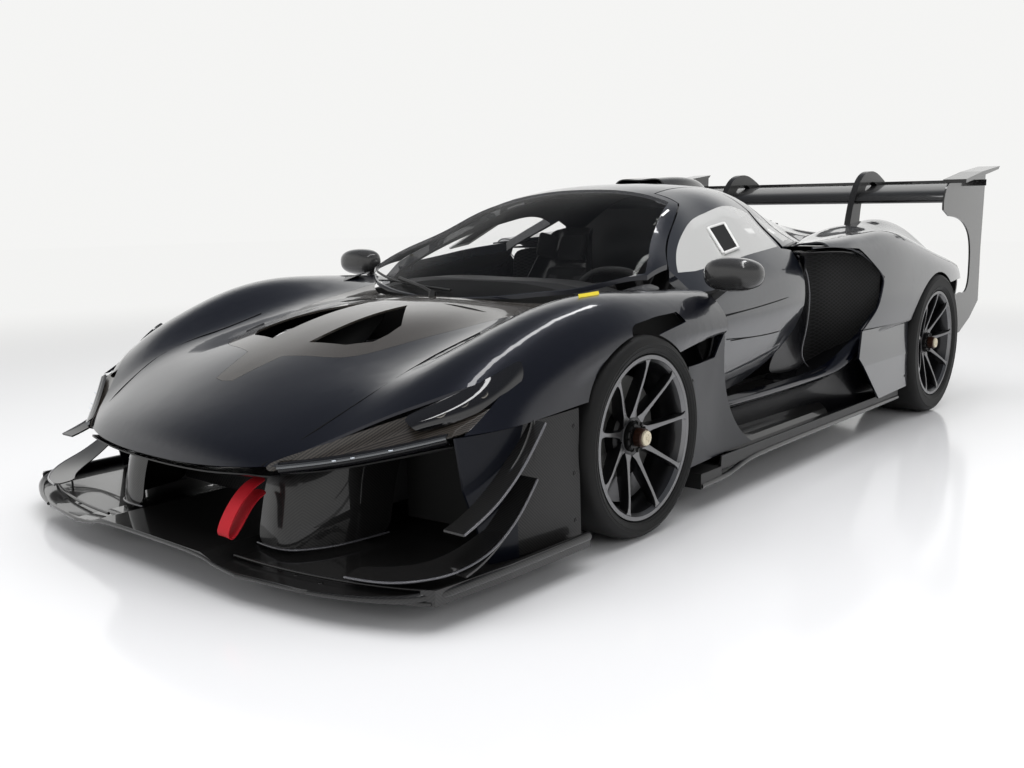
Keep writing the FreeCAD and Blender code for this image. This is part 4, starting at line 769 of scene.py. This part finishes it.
# Windscreen wiper: a spring arm and a long rubber blade, parked along the screen's foot
finish_piece(satin_black, strand("wiper_blade", [(132, -30, 742), (150, 150, 750), (192, 320, 760),
    (255, 460, 774), (300, 540, 786)], 5))
finish_piece(satin_black, strand("wiper_arm", [(88, 20, 730), (100, 60, 744), (130, 160, 760),
    (190, 300, 774)], 7.5))
finish_piece(satin_black, strand("wiper_post", [(80, 20, 700), (84, 20, 722), (90, 22, 738)], 14, 5))

# Bonnet outlet: a black tray below each mouth, rising to the rear
both_sides(deep_black, skin_sheet("outlet_tray", [
    [(-560, -80, 560), (-560, -250, 540), (-560, -420, 520)],
    [(-420, -80, 500), (-420, -260, 490), (-420, -470, 480)],
    [(-260, -80, 530), (-260, -270, 520), (-260, -500, 510)],
    [(-120, -80, 640), (-120, -270, 630), (-120, -500, 600)],
    [(-60, -80, 720), (-60, -270, 712), (-60, -480, 680)]]))


def pad(name, middle, size, lean=0, crown=0.35, turn=0):
    """A foam pad: a box whose faces swell and whose rims pull in, set at its middle. It leans back
    about Y and then turns about X, in degrees."""
    bpy.ops.object.select_all(action="DESELECT")
    bpy.ops.mesh.primitive_cube_add(size=1)
    cushion = bpy.context.object
    cushion.name = name
    bpy.ops.object.mode_set(mode="EDIT")
    bpy.ops.mesh.select_all(action="SELECT")
    bpy.ops.mesh.subdivide(number_cuts=5)
    bpy.ops.object.mode_set(mode="OBJECT")
    long, wide, thick = (part / 2000 for part in size)
    for vertex in cushion.data.vertices:
        x, y, z = (2 * part for part in vertex.co)
        swell = (1 - x * x) * (1 - y * y)
        pinch = 1 - 0.07 * z * z
        vertex.co = (long * x * pinch * (1 - 0.05 * y * y), wide * y * pinch * (1 - 0.05 * x * x),
                     thick * z * (1 - crown + crown * swell))
    smoothed(cushion, 2)
    bpy.ops.object.shade_smooth_by_angle(angle=math.radians(60))
    cushion.rotation_euler = (math.radians(turn), math.radians(lean), 0)
    return settled(cushion, at(*middle))


# Seats: a carbon bucket shell bonded to the tub, with separate foam pads in dark woven cloth and
# black four-point webbing. The left-hand seat's middle is at this Y.
SEAT = -355
# Rows of the shell: place, height, half width, and how far the edge comes forward and up
SHELL_ROWS = ((886, 256, 175, 0, 30), (1000, 262, 185, 0, 110), (1170, 258, 190, -30, 150),
              (1255, 300, 190, -90, 120), (1325, 470, 188, -130, 30), (1390, 650, 186, -130, -20),
              (1436, 780, 150, -120, -20), (1470, 880, 118, -110, -20), (1492, 950, 100, -80, -20))
shell = []
for x, z, wide, forward, rise in SHELL_ROWS:
    half = [(x, wide * 0.72, z), (x + forward * 0.4, wide, z + rise * 0.4),
            (x + forward, wide + 12, z + rise)]
    shell.append([(x, SEAT - y, z) for x, y, z in reversed(half)] + [(x, SEAT, z)]
                 + [(x, SEAT + y, z) for x, y, z in half])
both_sides(gloss_carbon, skin_sheet("seat_shell", shell, thickness=6, offset=0.0))
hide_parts("seats")
cushions = [pad(name, middle, *more) for name, middle, *more in (
    ("seat_base_pad", (1045, SEAT, 292), (270, 270, 52), 3),
    ("seat_lumbar_pad", (1280, SEAT, 420), (235, 255, 48), -69),
    ("seat_shoulder_pad", (1368, SEAT, 660), (215, 260, 44), -71),
    ("seat_head_pad", (1438, SEAT, 850), (130, 170, 40), -71),
    ("seat_wing_near", (1372, SEAT - 112, 862), (120, 105, 28), -71, 0.3, -62),
    ("seat_wing_far", (1372, SEAT + 112, 862), (120, 105, 28), -71, 0.3, 62))]
for cushion in cushions:
    for side in both_sides(seat_cloth, cushion):
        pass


def webbing(name, line, width, thickness=2.5):
    """A flat strap whose middle follows the line; its width runs along Y, or along X where the
    strap goes sideways."""
    rows = []
    for index, (x, y, z) in enumerate(line):
        before, after = line[max(index - 1, 0)], line[min(index + 1, len(line) - 1)]
        dx, dy, dz = (abs(b - a) for a, b in zip(before, after))
        side, ahead = (0, width / 2) if dy > max(dx, dz) else (width / 2, 0)
        rows.append([(x - ahead, y - side, z), (x, y, z + 0.5), (x + ahead, y + side, z)])
    return skin_sheet(name, rows, thickness=thickness, offset=0.0)


# Harness lines for one side, from the seat's middle outward, each with its width
SHOULDER = ((1452, 75, 770), (1405, 75, 752), (1346, 75, 700), (1300, 70, 560), (1245, 55, 420),
            (1170, 30, 350))
LAP = ((1165, 20, 345), (1175, 80, 340), (1190, 140, 330), (1195, 175, 345))
belts = []
for side in (-1, 1):
    for line, width in ((SHOULDER, 50), (LAP, 48)):
        belts.append(webbing("belt", [(x, SEAT + side * y, z) for x, y, z in line], width))
webbing_black = fine_bump(principled("webbing_black", (0.022, 0.022, 0.023), 0.7), 900, 0.4)
both_sides(webbing_black, joined(belts, "seat_harness"))

# Steering wheel: a flat-sided rim wrapped in suede, two flat spokes, a boss and the column
wheel_points = []
for index in range(24):
    turn = 2 * math.pi * index / 24
    across = 148 * math.copysign(abs(math.cos(turn)) ** 0.75, math.cos(turn))
    up = 118 * math.copysign(abs(math.sin(turn)) ** 0.75, math.sin(turn))
    wheel_points.append((690 + up * 0.407, SEAT + across, 690 + up * 0.913))
wheel_points.append(wheel_points[0])
ring = strand("steering_ring", wheel_points, 14.5, 5)
boss = pad("steering_boss", (684, SEAT, 690), (130, 110, 34), lean=66, crown=0.15)
spokes = skin_sheet("steering_spokes", [
    [(684, SEAT - 140, 700), (684, SEAT, 705), (684, SEAT + 140, 700)],
    [(672, SEAT - 140, 674), (672, SEAT, 666), (672, SEAT + 140, 674)]], thickness=8, offset=0.0)
column = strand("steering_column", [(680, SEAT, 686), (600, SEAT, 650), (520, SEAT, 614)], 22, 5)
suede = fine_bump(principled("suede_black", (0.010, 0.010, 0.010), 0.95), 900, 0.3)
steering = joined([ring, boss, spokes, column], "steering_assembly")
finish_piece(suede, steering)
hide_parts("steering_wheel")

# Panel seams: the thin dark joints in the bonnet and the doors. A dark hatch in a pale frame sits in
# each side window
seam_black = principled("seam_shadow", (0.001, 0.001, 0.001), 0.9)
both_sides(seam_black, strand("bonnet_seam", [(-1063, -437, 364), (-972, -490, 424), (-862, -529, 483),
    (-740, -562, 542), (-600, -563, 588), (-452, -541, 620), (-298, -551, 658)], 1.8))
door_seams = {
    "door_seam_upper": [(700, -875, 646), (823, -868, 651), (1022, -872, 662), (1263, -872, 681),
                        (1392, -856, 690)],
    "door_seam_lower": [(760, -865, 548), (890, -857, 545), (1062, -856, 540), (1200, -855, 543),
                        (1340, -838, 548)]}
for name, line in door_seams.items():
    both_sides(seam_black, strand(name, line, 2.2), DOOR)
hatch_corners = [(948, -725.5, 862), (1030, -609.5, 957), (1168, -606.5, 975), (1075, -721.5, 880)]
both_sides(deep_black, skin_sheet("window_hatch", [[hatch_corners[1], hatch_corners[2]],
    [hatch_corners[0], hatch_corners[3]]], thickness=2, level=0), DOOR)
frame_white = principled("hatch_frame", (0.55, 0.55, 0.54), 0.3)
rails = []
for start, end in zip(hatch_corners, hatch_corners[1:] + hatch_corners[:1]):
    middle = tuple((a + b) / 2 for a, b in zip(start, end))
    rails.append(strand("hatch_rail", [start, middle, end], 6.5))
both_sides(frame_white, joined(rails, "window_hatch_frame"), DOOR)

# Footwell sides and cowl: dark panels that close the cabin behind the front wheels, and the black
# corner between the windscreen's foot and the wing
both_sides(deep_black, skin_sheet("footwell_side", [
    [(345, -658, 100), (345, -658, 400), (345, -658, 700)],
    [(520, -664, 100), (520, -664, 390), (520, -664, 690)],
    [(700, -664, 100), (700, -664, 380), (700, -664, 660)],
    [(860, -664, 100), (860, -664, 300), (860, -664, 500)],
    [(1000, -664, 100), (1000, -664, 210), (1000, -664, 320)]], level=1))
both_sides(liner_black, skin_sheet("screen_cowl", [
    [(-60, -560, 700), (-60, -680, 722), (-60, -775, 744)],
    [(120, -640, 728), (120, -710, 742), (120, -775, 752)],
    [(280, -690, 756), (280, -735, 758), (280, -778, 756)],
    [(415, -715, 778), (415, -745, 770), (415, -780, 758)]], thickness=3))

# Tape mark on the windscreen pillar: a short strip of white cloth tape
tape_white = fine_bump(principled("tape_white", (0.75, 0.75, 0.73), 0.6), 900, 0.2)
finish_piece(tape_white, skin_sheet("pillar_tape", [[(840, -514, 1006.5), (905, -504.5, 1028.5)],
    [(848, -502, 1011.5), (913, -492.5, 1033.5)]], thickness=1.5, level=0, offset=0.0))

# Pull tab at the foot of the windscreen: a short upright strip of yellow webbing, stiff with glue
marker_yellow = principled("marker_yellow", (0.70, 0.56, 0.03), 0.5)
finish_piece(marker_yellow, skin_sheet("screen_foot_tab", [[(-105, -792, 764), (-13, -804, 769)],
    [(-102, -787, 774.5), (-10, -799, 779.5)]], thickness=2, level=0, offset=0.0))

# Tail: open mesh across the carbon frame, three titanium exhaust pipes through it with rolled
# rims, and a small rain light in the middle
finish_piece(mesh_black, skin_sheet("tail_mesh", [[(3046, y, z) for y in (-600, -200, 200, 600)]
    for z in (372, 500, 660, 818)], level=0))
both_sides(mesh_black, skin_sheet("tail_mesh_side", [[(3046, -600, 375), (3046, -600, 815)],
    [(3046, -700, 480), (3046, -700, 755)], [(3046, -798, 592), (3046, -798, 700)]], level=0))
titanium = fine_bump(principled("exhaust_titanium", (0.20, 0.17, 0.15), 0.28, metallic=1.0), 300, 0.05)
pipes = []
for y, z in ((-115, 690), (0, 705), (115, 690)):
    pipe = turned("exhaust_pipe", [(30, 150), (30, 10), (44, 4), (46, 0), (48, 4), (48, 150)], 56)
    pipe.rotation_euler = (0, 0, math.radians(90))
    pipes.append(settled(pipe, at(3078, y, z)))
finish_piece(titanium, joined(pipes, "exhaust_pipes"))
finish_piece(red_glass, pad("rain_light", (3060, 0, 560), (20, 90, 50), crown=0.15))

# Engine cover slots: dark louvres pressed into the cover behind the cabin
louvres = []
for x, high, side in ((2200, 1036.5, 1021.5), (2280, 1017.5, 1002), (2360, 999.5, 983.5),
        (2440, 981.5, 966.5), (2520, 964, 951)):
    louvres.append(strand("louvre", [(x + 10, -200, side), (x, -100, high - 3), (x, 0, high),
        (x, 100, high - 3), (x + 10, 200, side)], 5.5))
finish_piece(deep_black, joined(louvres, "cover_louvres"))

# Splitter and plate fixings: small countersunk screws of dark steel along the seams
screw_steel = principled("screw_steel", (0.05, 0.05, 0.05), 0.35, metallic=1.0)


def screw_row(name, spots):
    """Countersunk heads, each at a place with the way that it faces."""
    heads = []
    for x, y, z, facing in spots:
        head = turned(name, [(1.2, -0.6), (2.6, -0.6), (3, -1.4), (6, -1.2), (6.6, 0.2), (6.6, 3)], 20)
        head.rotation_euler = Vector(facing).to_track_quat("-Y", "Z").to_euler()
        heads.append(settled(head, at(x, y, z)))
    both_sides(screw_steel, joined(heads, name))


screw_row("splitter_screws", [(-1060, y, 85.1, (0, 0, 1)) for y in (-460, -560, -660)]
    + [(x, -950, 84, (0, 0, 1)) for x in (-600, -530, -460)])
screw_row("blade_screws", [(335, -956.2, 200, (0.08, -1, 0)), (335, -950.2, 330, (0.15, -1, 0)),
    (335, -949, 460, (0.13, -1, 0))])
screw_row("fairing_screws", [(-352, -961, 140, (-0.09, -1, 0)), (-352, -957.3, 280, (-0.07, -1, 0)),
    (-352, -954.3, 420, (-0.06, -1, 0))])
screw_row("rear_blade_screws", [(2310, -987.2, 230, (0, -1, 0)), (2310, -990.5, 340, (0, -1, 0)),
    (2310, -981.9, 450, (0, -1, 0))])

# Wing: a small upright flap along the trailing edge, bonded to its upper skin
finish_piece(gloss_carbon, skin_sheet("wing_gurney", [[(3530, y, z) for y in (-970, -450, 0, 450, 970)]
    for z in (1150, 1184)], thickness=3, level=0))

# Every thin carbon plate keeps a small worked edge
for name in ("end_plates", "swan_necks", "dive_planes", "front_blades", "rear_blades", "wheel_fairings",
        "side_skirts", "corner_vanes", "sills"):
    edged(nodes[name], "worked_edge", width=1.6, segments=2, angle=40)
